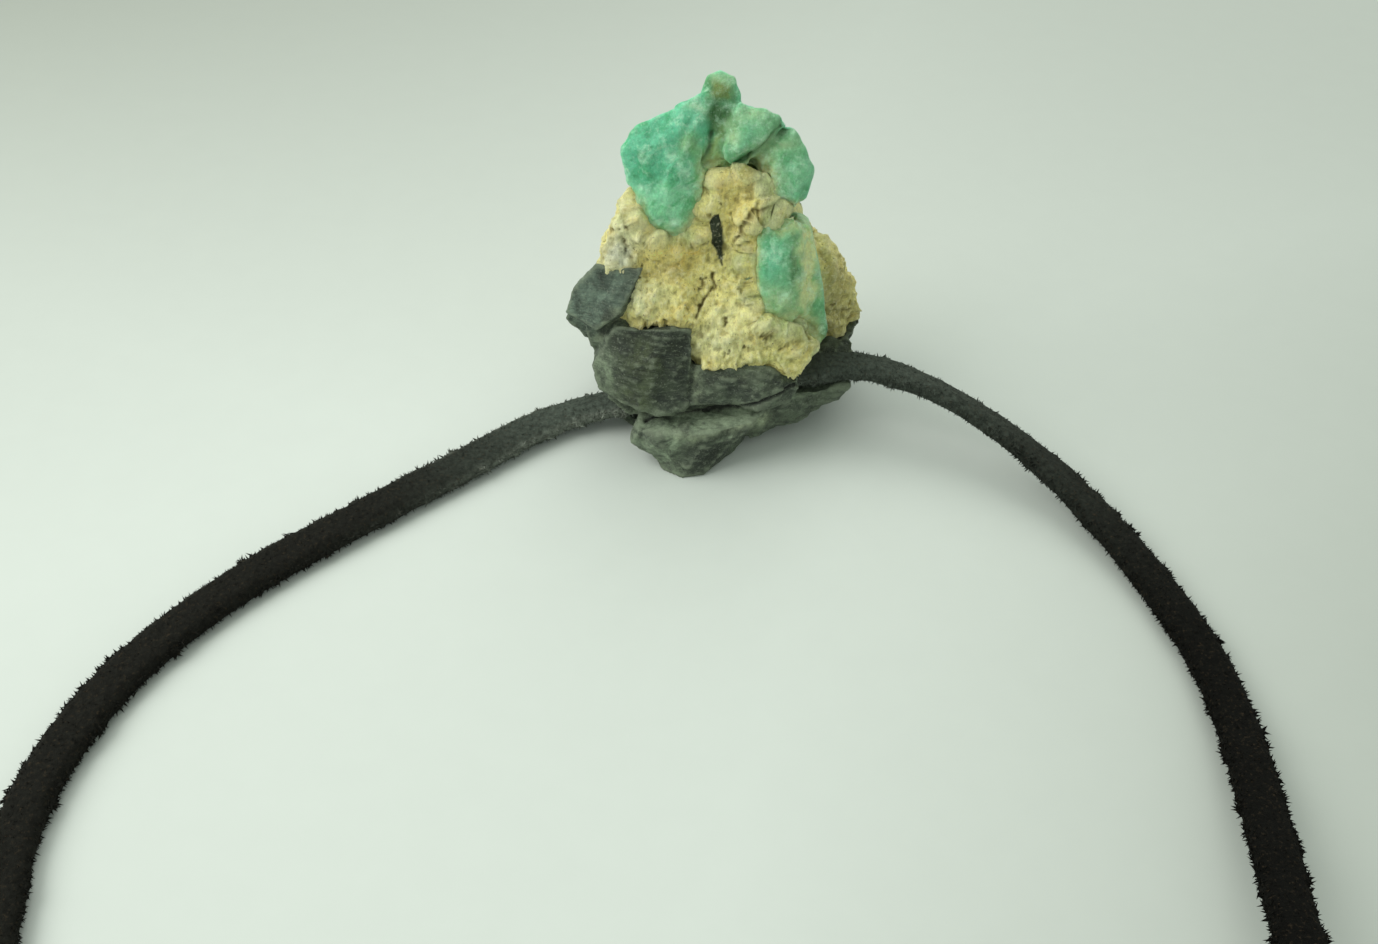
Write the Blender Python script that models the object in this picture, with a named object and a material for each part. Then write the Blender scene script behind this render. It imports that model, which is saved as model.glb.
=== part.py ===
"""A raw emerald in its rock, threaded on a suede lace.

The stone stands on a flat underside. X runs to its right, Y away from the front face, Z up, and the
origin is the middle of the stone's footprint box. Blocks and crystals are given by the outline of their
front face, seen from the front as (x, z) in millimetres, on a face that leans back: y = front + lean * z.
"""

import math
import random

import bmesh
import bpy
from mathutils import Vector, noise

MM = 0.001
GAP = 0.3  # clearance between neighbouring pieces
LUMP_SEED = 11
CHUNK_SEED = 4

# Grain of the rock, in mm, and the share of its triangles that is kept
FELDSPAR_VOXEL = 0.42
FELDSPAR_KEPT = 0.16
CUTTER_VOXEL = 0.3
CUTTER_KEPT = 0.1
SCHIST_GAP = 0.45  # clearance between the schist and the feldspar's rough skin
COARSE_RELIEF = (0.55, 0.42)  # height, and how often it comes a mm
FINE_RELIEF = (0.38, 1.15)
PIT_RELIEF = (0.90, 0.80)
PIT_ONSET = 0.25

# Broken corners of schist: the angle round the stone of each and its height, in degrees and mm
REAR_CHUNKS = [(20, 3.0), (52, 5.0), (78, 2.6), (102, 5.2), (128, 2.8), (152, 5.6), (176, 3.2), (198, 7.6)]
REAR_MIDDLE = (0.4, 1.4)
REAR_REACH = (7.6, 6.2)
REAR_CORNERS = 11
REAR_SPREAD = (2.9, 2.6, 2.4)

# Small rounded lumps on the feldspar, in rows and columns over its faces
LUMP_ROWS = 9
LUMP_COLUMNS = 7
LUMP_START = (-6.6, 9.4)
LUMP_STEP = (2.1, 1.75)
LUMP_SIZES = (0.6, 1.15)
LUMP_REACH = 7.6
LUMP_LOWEST = 9.6
LUMP_LOWEST_LEFT = 13.0  # the schist covers the left side up to here
LEFT_SIDE = -1.6

# The leaning front face of the stone: y = FACE_FRONT + FACE_LEAN * z
FACE_FRONT = -9.1
FACE_LEAN = 0.42
FACE_BACK = 4.2
BACK_LEAN = 0.14

# The block under the stone that cuts its underside flat
FLOOR_REACH = 30
FLOOR_DEPTH = 6

# The suede lace
LACE_WIDTH = 3.0
LACE_THICKNESS = 1.5
LACE_POINT_SPACING = 6.5
CHANNEL_CLEARANCE = 0.45

# The coil that the rest of the lace is put away in
COIL_CENTRE = (15.6, -75.0)
COIL_RADIUS = 16.5
COIL_BAND = 6.8
COIL_LOW = 0.7
COIL_HIGH = 4.2
COIL_CORNER = 0.85
COIL_STEPS = 48
TIE_WIDTH = 2.4
TIE_THICKNESS = 0.4
TIE_GAP = 0.2
TIE_ANGLE = math.radians(150)
KNOT_CENTRE = Vector((-28.5, -78.0, 2.3))
KNOT_DIRECTION = Vector((-0.64, 0.77, 0.0))
KNOT_SIZE = Vector((5.6, 6.0, 4.0))  # along the lace, across it, and high

# Routes of the free lace, in mm: from the stone's right side to the coil, and from the coil to its left side
RIGHT_ROUTE = [
    (-0.9, -2.5, 3.9, 90),
    (3.4, -2.5, 4.9, 90),
    (7.3, -2.6, 5.7, 90),
    (11.6, -2.3, 6.1, 85),
    (15.7, -3.2, 5.7, 70),
    (19.9, -5.0, 4.8, 52),
    (23.8, -7.7, 3.7, 50),
    (27.5, -11.3, 2.6, 60),
    (30.8, -16.1, 1.7, 75),
    (33.5, -21.7, 1.1, 85),
    (35.5, -28.5, 1.1, 90),
    (35.9, -35.0, 1.6, 90),
    (35.2, -42.0, 2.7, 90),
    (34.1, -49.2, 4.0, 90),
    (33.4, -55.0, 4.8, 90),
    (32.8, -61.0, 5.0, 90),
]
LEFT_ROUTE = [
    (3.6, -93.6, 0.9, 90),
    (-4.0, -93.2, 0.9, 90),
    (-12.0, -90.9, 0.9, 90),
    (-19.5, -86.5, 1.0, 90),
    (-28.5, -78.0, 2.3, 90),
    (-36.5, -68.5, 1.0, 90),
    (-43.0, -58.0, 0.9, 90),
    (-45.8, -48.0, 0.9, 90),
    (-46.3, -41.1, 0.9, 90),
    (-44.7, -33.9, 0.9, 90),
    (-41.5, -27.8, 0.9, 90),
    (-36.3, -21.6, 0.9, 90),
    (-29.6, -15.8, 0.9, 90),
    (-22.3, -10.0, 0.9, 90),
    (-16.4, -5.2, 1.0, 88),
    (-12.4, -3.0, 1.2, 85),
    (-9.0, -2.5, 1.9, 90),
    (-5.0, -2.5, 2.9, 90),
    (-1.3, -2.5, 3.8, 90),
]
CHANNEL_ROUTE = LEFT_ROUTE[-5:-1] + RIGHT_ROUTE[1:5]


def colour_of(red, green, blue):
    return (red, green, blue, 1.0)


MATERIALS = {
    "emerald": (colour_of(0.12, 0.48, 0.31), 0.32),
    "feldspar": (colour_of(0.62, 0.54, 0.33), 0.85),
    "schist": (colour_of(0.07, 0.10, 0.09), 0.70),
    "suede": (colour_of(0.012, 0.009, 0.008), 0.95),
    "thread": (colour_of(0.03, 0.02, 0.015), 0.80),
}


def material_named(name):
    material = bpy.data.materials.get(name)
    if material is None:
        material = bpy.data.materials.new(name)
        material.use_nodes = True
        shader = material.node_tree.nodes["Principled BSDF"]
        colour, roughness = MATERIALS[name]
        shader.inputs["Base Color"].default_value = colour
        shader.inputs["Roughness"].default_value = roughness
        material.diffuse_color = colour
    return material


def clear_scene():
    for item in list(bpy.data.objects):
        bpy.data.objects.remove(item, do_unlink=True)


def slab(outline, front, lean, depth, taper=0.85, bulge=0.0, drop=0.0):
    """Corner points of a block: its front outline on the leaning face, and the same, smaller, behind it."""
    middle_x = sum(x for x, z in outline) / len(outline)
    middle_z = sum(z for x, z in outline) / len(outline)
    points = [Vector((x, front + lean * z, z)) for x, z in outline]
    for x, z in outline:
        back_x = middle_x + (x - middle_x) * taper
        back_z = middle_z + (z - middle_z) * taper - drop
        points.append(Vector((back_x, front + lean * z + depth, back_z)))
    if bulge:
        for x, z in outline:
            inner_x = middle_x + (x - middle_x) * 0.5
            inner_z = middle_z + (z - middle_z) * 0.5
            points.append(Vector((inner_x, front + lean * inner_z - bulge, inner_z)))
    return points


def corners(*points):
    return [Vector(point) for point in points]


ICOSAHEDRON = [
    Vector(point).normalized()
    for golden in [(1 + math.sqrt(5)) / 2]
    for a in (-1, 1)
    for b in (-golden, golden)
    for point in ((0, a, b), (a, b, 0), (b, 0, a))
]


def grown(points, by):
    """The corner points of the same block, thicker by this much all round."""
    reach = by / 0.795
    return [point + direction * reach for point in points for direction in ICOSAHEDRON]


def add_hull(mesh, points):
    corners_of_hull = [mesh.verts.new(point * MM) for point in points]
    made = bmesh.ops.convex_hull(mesh, input=corners_of_hull)
    left_over = made["geom_interior"] + made["geom_unused"]
    inside = {item for item in left_over if isinstance(item, bmesh.types.BMVert)}
    bmesh.ops.delete(mesh, geom=list(inside), context="VERTS")


def object_of(name, mesh):
    bmesh.ops.recalc_face_normals(mesh, faces=mesh.faces)
    data = bpy.data.meshes.new(name)
    mesh.to_mesh(data)
    mesh.free()
    item = bpy.data.objects.new(name, data)
    bpy.context.collection.objects.link(item)
    return item


def blocks_object(name, blocks):
    mesh = bmesh.new()
    for points in blocks:
        add_hull(mesh, points)
    return object_of(name, mesh)


def apply_modifiers(item):
    """Replaces the object's mesh by the one that its modifiers make, and removes them."""
    bpy.context.view_layer.update()
    graph = bpy.context.evaluated_depsgraph_get()
    made = bpy.data.meshes.new_from_object(item.evaluated_get(graph))
    item.modifiers.clear()
    item.data = made


def fuse(item, voxel):
    """Makes one closed skin of blocks that overlap."""
    remesh = item.modifiers.new("fuse", "REMESH")
    remesh.mode = "VOXEL"
    remesh.voxel_size = voxel * MM
    apply_modifiers(item)


def roughen(item, relief):
    """Moves each point of the skin outward by relief(point in mm)."""
    data = item.data
    moved = [vertex.co + vertex.normal * relief(vertex.co / MM) * MM for vertex in data.vertices]
    for vertex, place in zip(data.vertices, moved):
        vertex.co = place
    data.update()


def thin_out(item, kept):
    decimate = item.modifiers.new("thin", "DECIMATE")
    decimate.ratio = kept
    decimate.use_collapse_triangulate = True
    apply_modifiers(item)


def cut(item, cutter, operation="DIFFERENCE"):
    boolean = item.modifiers.new(operation.lower(), "BOOLEAN")
    boolean.operation = operation
    boolean.solver = "EXACT"
    boolean.object = cutter
    apply_modifiers(item)


def keep_largest_body(item):
    """Drops the crumbs that a cut leaves loose."""
    mesh = bmesh.new()
    mesh.from_mesh(item.data)
    bmesh.ops.remove_doubles(mesh, verts=mesh.verts, dist=0.002 * MM)
    left = set(mesh.faces)
    bodies = []
    while left:
        body = {left.pop()}
        to_visit = list(body)
        while to_visit:
            face = to_visit.pop()
            for side in face.edges:
                for other in side.link_faces:
                    if other in left:
                        left.discard(other)
                        body.add(other)
                        to_visit.append(other)
        bodies.append(body)
    bodies.sort(key=len)
    crumbs = [face for body in bodies[:-1] for face in body]
    bmesh.ops.delete(mesh, geom=crumbs, context="FACES")
    bmesh.ops.triangulate(mesh, faces=mesh.faces)
    mesh.to_mesh(item.data)
    mesh.free()


def hide_helper(item):
    item.hide_render = True
    item.display_type = "WIRE"


def finish(item, material):
    item.data.materials.clear()
    item.data.materials.append(material_named(material))
    if item.type == "MESH":
        item.data.shade_smooth()
        item.data.set_sharp_from_angle(angle=math.radians(32))


# Emerald crystals, each leaning back and dropping away behind, so that its front outline is its silhouette

TIP = slab(
    [(-1.3, 28.5), (-0.9, 29.6), (0.2, 30.0), (1.4, 29.5), (1.9, 28.2), (1.5, 25.8),
     (0.4, 23.0), (-0.8, 25.6)],
    -8.3, 0.42, 4.5, 0.6, 0.7, 4.2,
)
UPPER_LEFT = [
    slab(
        [(-7.6, 25.2), (-6.4, 26.7), (-4.2, 27.6), (-2.1, 28.6), (-0.9, 27.4), (-0.7, 23.6),
         (-2.1, 20.6), (-6.9, 21.9)],
        -9.7, 0.42, 6.4, 0.7, 1.1, 5.6,
    ),
    slab(
        [(-6.7, 22.8), (-3.4, 24.0), (-0.9, 23.0), (-2.0, 19.1), (-4.9, 18.9), (-6.4, 20.4)],
        -10.2, 0.42, 6.0, 0.6, 0.7, 3.0,
    ),
    slab(
        [(-3.4, 28.0), (-0.9, 29.0), (0.6, 27.6), (0.5, 24.6), (-0.6, 22.2), (-2.6, 24.6)],
        -9.2, 0.42, 6.0, 0.7, 0.5, 5.0,
    ),
]
UPPER_RIGHT = slab(
    [(1.4, 28.3), (3.6, 28.0), (5.4, 26.9), (2.7, 24.0), (0.9, 23.4), (0.3, 25.0)],
    -9.9, 0.42, 6.8, 0.7, 0.4, 6.2,
)
RIGHT_CRYSTAL = [
    slab(
        [(2.4, 25.2), (5.6, 26.4), (6.7, 25.1), (7.4, 23.5), (5.4, 21.8), (2.8, 22.6)],
        -9.0, 0.42, 6.0, 0.7, 0.5, 4.6,
    ),
    slab(
        [(3.2, 23.2), (5.4, 24.0), (7.4, 23.6), (7.1, 21.4), (6.3, 20.2), (4.4, 20.8)],
        -9.0, 0.42, 6.5, 0.7, 0.7, 4.0,
    ),
]
LOWER_PRISM = [
    slab(
        [(2.9, 20.2), (5.8, 20.1), (6.9, 19.5), (7.2, 13.4), (5.6, 11.8), (3.2, 13.0), (2.5, 17.0)],
        -10.3, 0.42, 6.5, 0.7, 0.7, 1.5,
    ),
    slab(
        [(6.0, 20.1), (7.5, 19.3), (8.8, 14.0), (9.2, 11.2), (8.6, 9.6), (6.6, 10.8)],
        -9.2, 0.42, 6.5, 0.7, 0.0, 1.5,
    ),
]
CLUSTER = [TIP] + UPPER_LEFT + [UPPER_RIGHT] + RIGHT_CRYSTAL

# Feldspar: the faces that show, then the body behind them, then the lump at the back on the right

FELDSPAR = [
    slab(
        [(-5.6, 21.5), (-1.3, 24.4), (3.0, 24.4), (6.2, 21.0), (6.6, 16.0), (-6.4, 16.0)],
        -8.3, 0.42, 8.0, 0.8, 0.0, 5.0,
    ),
    slab(
        [(-7.6, 17.4), (-1.5, 17.6), (-1.8, 12.4), (-6.6, 12.2), (-8.0, 12.8)],
        -9.0, 0.42, 9.0, 0.8, 0.4, 2.0,
    ),
    slab(
        [(-2.6, 17.8), (6.0, 17.2), (8.4, 11.0), (7.0, 8.2), (-1.9, 8.8)],
        -8.9, 0.42, 9.0, 0.8, 0.5, 1.5,
    ),
    slab(
        [(-7.2, 21.3), (-5.2, 20.2), (-5.6, 15.4), (-8.4, 15.6), (-8.8, 17.6)],
        -8.9, 0.42, 7.0, 0.7, 0.8, 3.0,
    ),
    slab([(-6.4, 15.8), (-2.6, 15.6), (-1.6, 12.2), (-6.9, 12.2)], -9.6, 0.42, 6.0, 0.8, 0.5, 1.0),
    slab(
        [(-0.4, 14.2), (3.6, 13.6), (6.6, 11.0), (7.2, 8.1), (-1.8, 8.9)],
        -9.6, 0.42, 6.0, 0.8, 0.5, 1.0,
    ),
    slab([(-1.4, 24.2), (3.2, 23.8), (3.6, 20.4), (-1.4, 19.6)], -9.1, 0.42, 5.0, 0.9, 0.2, 3.0),
    slab(
        [(7.7, 16.4), (9.9, 15.0), (11.4, 12.0), (12.5, 8.8), (11.9, 6.8), (9.7, 6.0), (7.4, 8.6)],
        1.6, 0.05, 5.0, 0.75, 0.8, 2.0,
    ),
    corners(
        (-5.6, -1.0, 19.0), (5.4, -1.0, 19.0), (-4.2, 5.4, 24.2), (3.8, 5.8, 24.0),
        (-6.6, 6.6, 14.0), (6.8, 7.0, 14.0),
        (-3.0, 1.0, 24.6), (4.4, 1.0, 24.4), (-5.2, 6.4, 20.4), (5.2, 6.8, 20.2),
        (-7.0, -1.0, 8.0), (8.6, 0.6, 7.6), (-6.2, 8.6, 7.0), (6.2, 8.8, 7.2),
        (0.4, 9.4, 12.0), (-0.6, 8.2, 18.6),
    ),
    corners(
        (6.0, 0.4, 17.2), (8.4, 1.4, 16.0), (9.6, 2.4, 9.0), (8.0, 0.8, 6.8),
        (6.6, 6.6, 15.4), (9.4, 6.2, 12.0), (7.0, 6.4, 6.6),
    ),
]

# Schist: the blocks that show, then the wedge in front, the ledge on the right and the foot under all of them

SCHIST = [
    slab(
        [(-8.9, 16.1), (-9.7, 16.0), (-11.4, 14.2), (-12.5, 11.1), (-10.6, 9.4), (-9.0, 8.8),
         (-6.2, 14.2), (-6.3, 15.5)],
        -3.6, 0.12, 6.0, 0.7, 0.5, 3.0,
    ),
    slab(
        [(-11.0, 12.6), (-8.8, 13.6), (-5.6, 13.2), (-5.8, 9.0), (-8.8, 8.6), (-10.3, 9.2)],
        -4.8, 0.15, 5.0, 0.8, 0.5, 1.5,
    ),
    slab(
        [(-9.0, 11.0), (-8.2, 11.9), (-2.3, 11.8), (-1.9, 7.4), (-2.6, 4.4), (-5.2, 4.0), (-8.6, 8.0)],
        -7.6, 0.25, 8.0, 0.9, 0.9, 0.0,
    ),
    slab(
        [(-9.9, 8.4), (-8.6, 11.9), (-7.4, 9.0), (-6.0, 3.8), (-7.2, 3.4), (-8.9, 4.8)],
        -6.5, 0.24, 6.0, 0.9, 0.3, 0.0,
    ),
    slab(
        [(-2.4, 9.0), (3.4, 8.9), (6.8, 8.0), (7.1, 6.4), (6.3, 5.2), (2.4, 4.3), (-1.7, 4.7)],
        -7.0, 0.20, 7.0, 0.9, 0.6, 0.0,
    ),
    slab([(-2.6, 8.8), (-0.8, 8.6), (-1.0, 4.4), (-2.4, 4.2)], -7.3, 0.20, 6.0, 0.9, 0.2, 0.0),
    corners(
        (-2.7, -9.8, 0.0), (-1.0, -9.5, 0.1), (-4.4, -8.8, 0.0), (-6.9, -7.9, 2.4),
        (-6.5, -8.2, 4.0), (-4.8, -8.7, 4.1),
        (-0.4, -8.8, 4.3), (3.2, -7.6, 4.6), (4.4, -5.6, 4.8), (-6.2, -5.0, 3.9),
        (-5.6, -4.6, 0.0), (2.4, -6.2, 0.8),
        (1.2, -6.4, 0.0), (-2.0, 2.0, 0.0), (2.0, 2.0, 0.0),
    ),
    corners(
        (-3.4, -9.4, 1.2), (-2.4, -9.9, 1.0), (-1.2, -9.3, 3.0), (1.6, -8.6, 3.6),
        (2.9, -7.2, 3.0), (0.6, -7.4, 0.6),
        (-2.6, -7.0, 0.4), (-3.0, -7.0, 3.6),
    ),
    corners(
        (2.0, -6.6, 2.6), (2.4, -6.2, 4.4), (7.3, -5.0, 4.3), (11.4, -3.4, 5.2),
        (12.2, 0.8, 6.2), (10.6, -3.2, 3.2),
        (7.4, -4.8, 1.8), (3.0, -5.8, 0.8), (11.6, 3.4, 3.4), (9.0, 6.0, 0.0),
        (5.0, 1.0, 0.0), (2.0, 4.0, 5.0),
        (9.0, 6.0, 6.0),
    ),
    slab([(10.8, 6.4), (12.6, 9.2), (12.5, 6.8), (11.4, 4.4), (9.4, 3.6)], 2.2, 0.0, 5.0, 0.8, 0.3, 1.0),
    corners(
        (-8.6, -1.8, 0.0), (-9.2, 3.2, 0.0), (-6.4, 8.4, 0.0), (3.4, 9.4, 0.0),
        (9.2, 6.4, 0.0), (8.2, -0.6, 0.0),
        (-5.6, -5.0, 0.0), (-8.8, -2.6, 4.6), (-10.2, 2.6, 5.0), (-7.2, 9.2, 4.0),
        (4.0, 9.8, 4.4), (10.4, 6.6, 5.4),
        (8.6, 0.0, 5.6), (-6.4, 7.0, 7.6), (6.4, 7.6, 7.4), (-5.8, -4.6, 6.0), (3.0, -4.0, 6.0),
    ),
    corners(
        (-9.2, -0.4, 13.6), (-7.2, 3.6, 13.0), (-11.0, -0.8, 10.0), (-10.6, 3.8, 9.4),
        (-9.6, 5.6, 3.4), (-9.6, -1.6, 4.6),
        (-5.0, 6.6, 8.4), (-5.4, -2.4, 8.0),
    ),
]


def rear_chunks():
    """Broken corners of the schist round its back and sides."""
    draw = random.Random(CHUNK_SEED)
    chunks = []
    for angle, height in REAR_CHUNKS:
        turn = math.radians(angle)
        x = REAR_MIDDLE[0] + REAR_REACH[0] * math.cos(turn)
        y = REAR_MIDDLE[1] + REAR_REACH[1] * math.sin(turn)
        chunks.append([
            Vector((x, y, height)) + Vector([draw.uniform(-spread, spread) for spread in REAR_SPREAD])
            for corner in range(REAR_CORNERS)
        ])
    return chunks


def feldspar_lumps():
    """Small rounded lumps on the feldspar, front and back."""
    draw = random.Random(LUMP_SEED)
    lumps = []
    for row in range(LUMP_ROWS):
        for column in range(LUMP_COLUMNS):
            x = LUMP_START[0] + LUMP_STEP[0] * column + draw.uniform(-0.7, 0.7)
            z = LUMP_START[1] + LUMP_STEP[1] * row + draw.uniform(-0.6, 0.6)
            size = draw.uniform(*LUMP_SIZES)
            reach = LUMP_REACH - 0.1 * abs(z - 13.0)
            lowest = LUMP_LOWEST_LEFT if x < LEFT_SIDE else LUMP_LOWEST
            if abs(x) > reach or z < lowest:
                continue
            front = FACE_FRONT + FACE_LEAN * z + size * 0.45
            back = FACE_BACK + BACK_LEAN * (z - LUMP_START[1]) + draw.uniform(-0.3, 0.3)
            for centre in (Vector((x, front, z)), Vector((x, back, z - 1.2))):
                lumps.append([centre + way * size * draw.uniform(0.75, 1.1) for way in ICOSAHEDRON])
    return lumps


def feldspar_relief(point):
    coarse = noise.noise(point * COARSE_RELIEF[1] + Vector((3.1, 0.0, 0.0)))
    fine = noise.noise(point * FINE_RELIEF[1])
    pits = max(0.0, noise.noise(point * PIT_RELIEF[1] + Vector((0.0, 9.0, 0.0))) - PIT_ONSET)
    return COARSE_RELIEF[0] * coarse + FINE_RELIEF[0] * fine - PIT_RELIEF[0] * pits


def make_floor_cutter():
    mesh = bmesh.new()
    sides = (-FLOOR_REACH, FLOOR_REACH)
    add_hull(mesh, [Vector((x, y, z)) for x in sides for y in sides for z in (-FLOOR_DEPTH, 0)])
    cutter = object_of("floor_cutter", mesh)
    hide_helper(cutter)
    return cutter


def make_channel_cutter(name, route):
    """The slot that the lace runs through, wider than the lace by the clearance all round."""
    cutter = make_lace(name, route, CHANNEL_CLEARANCE, 2.5)
    bpy.context.view_layer.update()
    graph = bpy.context.evaluated_depsgraph_get()
    data = bpy.data.meshes.new_from_object(cutter.evaluated_get(graph))
    bpy.data.objects.remove(cutter)
    mesh = bmesh.new()
    mesh.from_mesh(data)
    bmesh.ops.remove_doubles(mesh, verts=mesh.verts, dist=0.01 * MM)
    cutter = object_of(name, mesh)
    hide_helper(cutter)
    return cutter


def union_of(name, blocks):
    """One solid of blocks that overlap, with their faces kept flat."""
    body = blocks_object(name, blocks[:1])
    for number, points in enumerate(blocks[1:]):
        block = blocks_object(f"{name}_block_{number}", [points])
        hide_helper(block)
        cut(body, block, "UNION")
    return body


def make_emeralds():
    return union_of("emerald_cluster", CLUSTER), union_of("emerald_prism", LOWER_PRISM)


def make_feldspar(channel):
    feldspar = blocks_object("feldspar_matrix", FELDSPAR + feldspar_lumps())
    fuse(feldspar, FELDSPAR_VOXEL)
    roughen(feldspar, feldspar_relief)
    thin_out(feldspar, FELDSPAR_KEPT)
    for number, crystals in enumerate((CLUSTER, LOWER_PRISM)):
        cutter = blocks_object(f"emerald_cutter_{number}", [grown(points, GAP) for points in crystals])
        fuse(cutter, CUTTER_VOXEL)
        thin_out(cutter, CUTTER_KEPT)
        hide_helper(cutter)
        cut(feldspar, cutter)
    cut(feldspar, channel)
    return feldspar


def make_schist(channel, floor):
    schist = union_of("schist_base", SCHIST + rear_chunks())
    matrix = [grown(points, SCHIST_GAP) for points in FELDSPAR + feldspar_lumps()]
    matrix_cutter = blocks_object("feldspar_cutter", matrix)
    fuse(matrix_cutter, FELDSPAR_VOXEL)
    roughen(matrix_cutter, feldspar_relief)
    thin_out(matrix_cutter, FELDSPAR_KEPT)
    crystals = [grown(points, GAP) for points in CLUSTER + LOWER_PRISM]
    crystal_cutter = blocks_object("crystal_cutter", crystals)
    fuse(crystal_cutter, CUTTER_VOXEL)
    thin_out(crystal_cutter, CUTTER_KEPT)
    for cutter in (matrix_cutter, crystal_cutter):
        hide_helper(cutter)
        cut(schist, cutter)
    cut(schist, channel)
    cut(schist, floor)
    return schist


def smooth_route(points, spacing):
    """Evenly spaced points on a smooth curve through the route's own points, each with its twist."""
    fine = []
    steps = 24
    for index in range(len(points) - 1):
        before = Vector(points[max(index - 1, 0)])
        start = Vector(points[index])
        end = Vector(points[index + 1])
        after = Vector(points[min(index + 2, len(points) - 1)])
        for step in range(steps):
            t = step / steps
            fine.append(
                0.5 * (2 * start + (end - before) * t + (2 * before - 5 * start + 4 * end - after) * t * t
                       + (3 * start - before - 3 * end + after) * t ** 3)
            )
    fine.append(Vector(points[-1]))
    lengths = [0.0]
    for start, end in zip(fine, fine[1:]):
        lengths.append(lengths[-1] + (end.xyz - start.xyz).length)
    count = max(2, round(lengths[-1] / spacing))
    spaced = []
    reached = 0
    for number in range(count + 1):
        wanted = lengths[-1] * number / count
        while reached < len(fine) - 2 and lengths[reached + 1] < wanted:
            reached += 1
        span = lengths[reached + 1] - lengths[reached]
        share = (wanted - lengths[reached]) / span if span else 0.0
        spaced.append(fine[reached].lerp(fine[reached + 1], min(1.0, share)))
    return spaced


def make_lace(name, points, clearance=0.0, spacing=LACE_POINT_SPACING):
    """A flat tube with round edges: bevel_depth rounds it, extrude makes it wide, the tilt lays it flat."""
    data = bpy.data.curves.new(name, "CURVE")
    data.dimensions = "3D"
    data.twist_mode = "Z_UP"
    data.bevel_depth = (LACE_THICKNESS / 2 + clearance) * MM
    data.extrude = (LACE_WIDTH - LACE_THICKNESS) / 2 * MM
    data.bevel_resolution = 2
    data.use_fill_caps = True
    spline = data.splines.new("POLY")
    route = smooth_route(points, spacing)
    spline.points.add(len(route) - 1)
    for point, place in zip(spline.points, route):
        point.co = (place.x * MM, place.y * MM, place.z * MM, 1.0)
        point.tilt = math.radians(place.w)
    item = bpy.data.objects.new(name, data)
    bpy.context.collection.objects.link(item)
    return item


def make_coil():
    """The outer shape of the coil: a ring whose section has rounded corners."""
    half = COIL_BAND / 2
    flat = half - COIL_CORNER
    low_side = COIL_LOW + COIL_CORNER
    high_side = COIL_HIGH - COIL_CORNER
    section = [
        (-half, low_side), (-flat, COIL_LOW), (flat, COIL_LOW), (half, low_side),
        (half, high_side), (flat, COIL_HIGH), (-flat, COIL_HIGH), (-half, high_side),
    ]
    mesh = bmesh.new()
    rings = []
    for step in range(COIL_STEPS):
        angle = 2 * math.pi * step / COIL_STEPS
        ring = []
        for across, height in section:
            radius = COIL_RADIUS + across
            x = COIL_CENTRE[0] + radius * math.cos(angle)
            y = COIL_CENTRE[1] + radius * math.sin(angle)
            ring.append(mesh.verts.new(Vector((x, y, height)) * MM))
        rings.append(ring)
    for ring, following in zip(rings, rings[1:] + rings[:1]):
        for index in range(len(section)):
            after = (index + 1) % len(section)
            mesh.faces.new((ring[index], following[index], following[after], ring[after]))
    return object_of("lace_coil", mesh)


def make_tie():
    """A band of thread round the coil's section, clear of it by its own gap and just above the surface."""
    half = COIL_BAND / 2 + TIE_GAP
    low = COIL_LOW - TIE_GAP
    high = COIL_HIGH + TIE_GAP
    outlines = []
    for grow, corner in ((TIE_THICKNESS, 0.6), (0.0, 0.3)):
        side = half + grow
        bottom = low - grow
        top = high + grow
        outlines.append([
            (-side, bottom + corner), (-side + corner, bottom), (side - corner, bottom),
            (side, bottom + corner),
            (side, top - corner), (side - corner, top), (-side + corner, top), (-side, top - corner),
        ])
    outward = Vector((math.cos(TIE_ANGLE), math.sin(TIE_ANGLE), 0))
    along = Vector((-outward.y, outward.x, 0))
    centre = Vector((COIL_CENTRE[0], COIL_CENTRE[1], 0)) + outward * COIL_RADIUS
    mesh = bmesh.new()
    loops = [
        [
            mesh.verts.new((centre + outward * across + along * edge + Vector((0, 0, height))) * MM)
            for across, height in outline
        ]
        for outline in outlines
        for edge in (-TIE_WIDTH / 2, TIE_WIDTH / 2)
    ]
    outer_near, outer_far, inner_near, inner_far = loops
    count = len(outer_near)
    for index in range(count):
        after = (index + 1) % count
        mesh.faces.new((outer_near[index], outer_far[index], outer_far[after], outer_near[after]))
        mesh.faces.new((inner_near[index], inner_near[after], inner_far[after], inner_far[index]))
        mesh.faces.new((outer_near[index], outer_near[after], inner_near[after], inner_near[index]))
        mesh.faces.new((outer_far[index], inner_far[index], inner_far[after], outer_far[after]))
    return object_of("coil_tie", mesh)


def make_knot():
    """The lump that both ends of the lace are tied in, open where the lace runs through."""
    mesh = bmesh.new()
    bmesh.ops.create_icosphere(mesh, subdivisions=3, radius=0.5 * MM)
    along = KNOT_DIRECTION.normalized()
    across = Vector((-along.y, along.x, 0))
    for vertex in mesh.verts:
        local = vertex.co / MM
        bump = 1.0 + 0.09 * math.sin(9.0 * local.x + 5.0 * local.y)
        width = across * local.y * KNOT_SIZE.y * bump
        height = Vector((0, 0, local.z * KNOT_SIZE.z * bump))
        vertex.co = (KNOT_CENTRE + along * local.x * KNOT_SIZE.x + width + height) * MM
    knot = object_of("lace_knot", mesh)
    channel = make_channel_cutter("knot_channel", LEFT_ROUTE[2:7])
    cut(knot, channel)
    return knot


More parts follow.
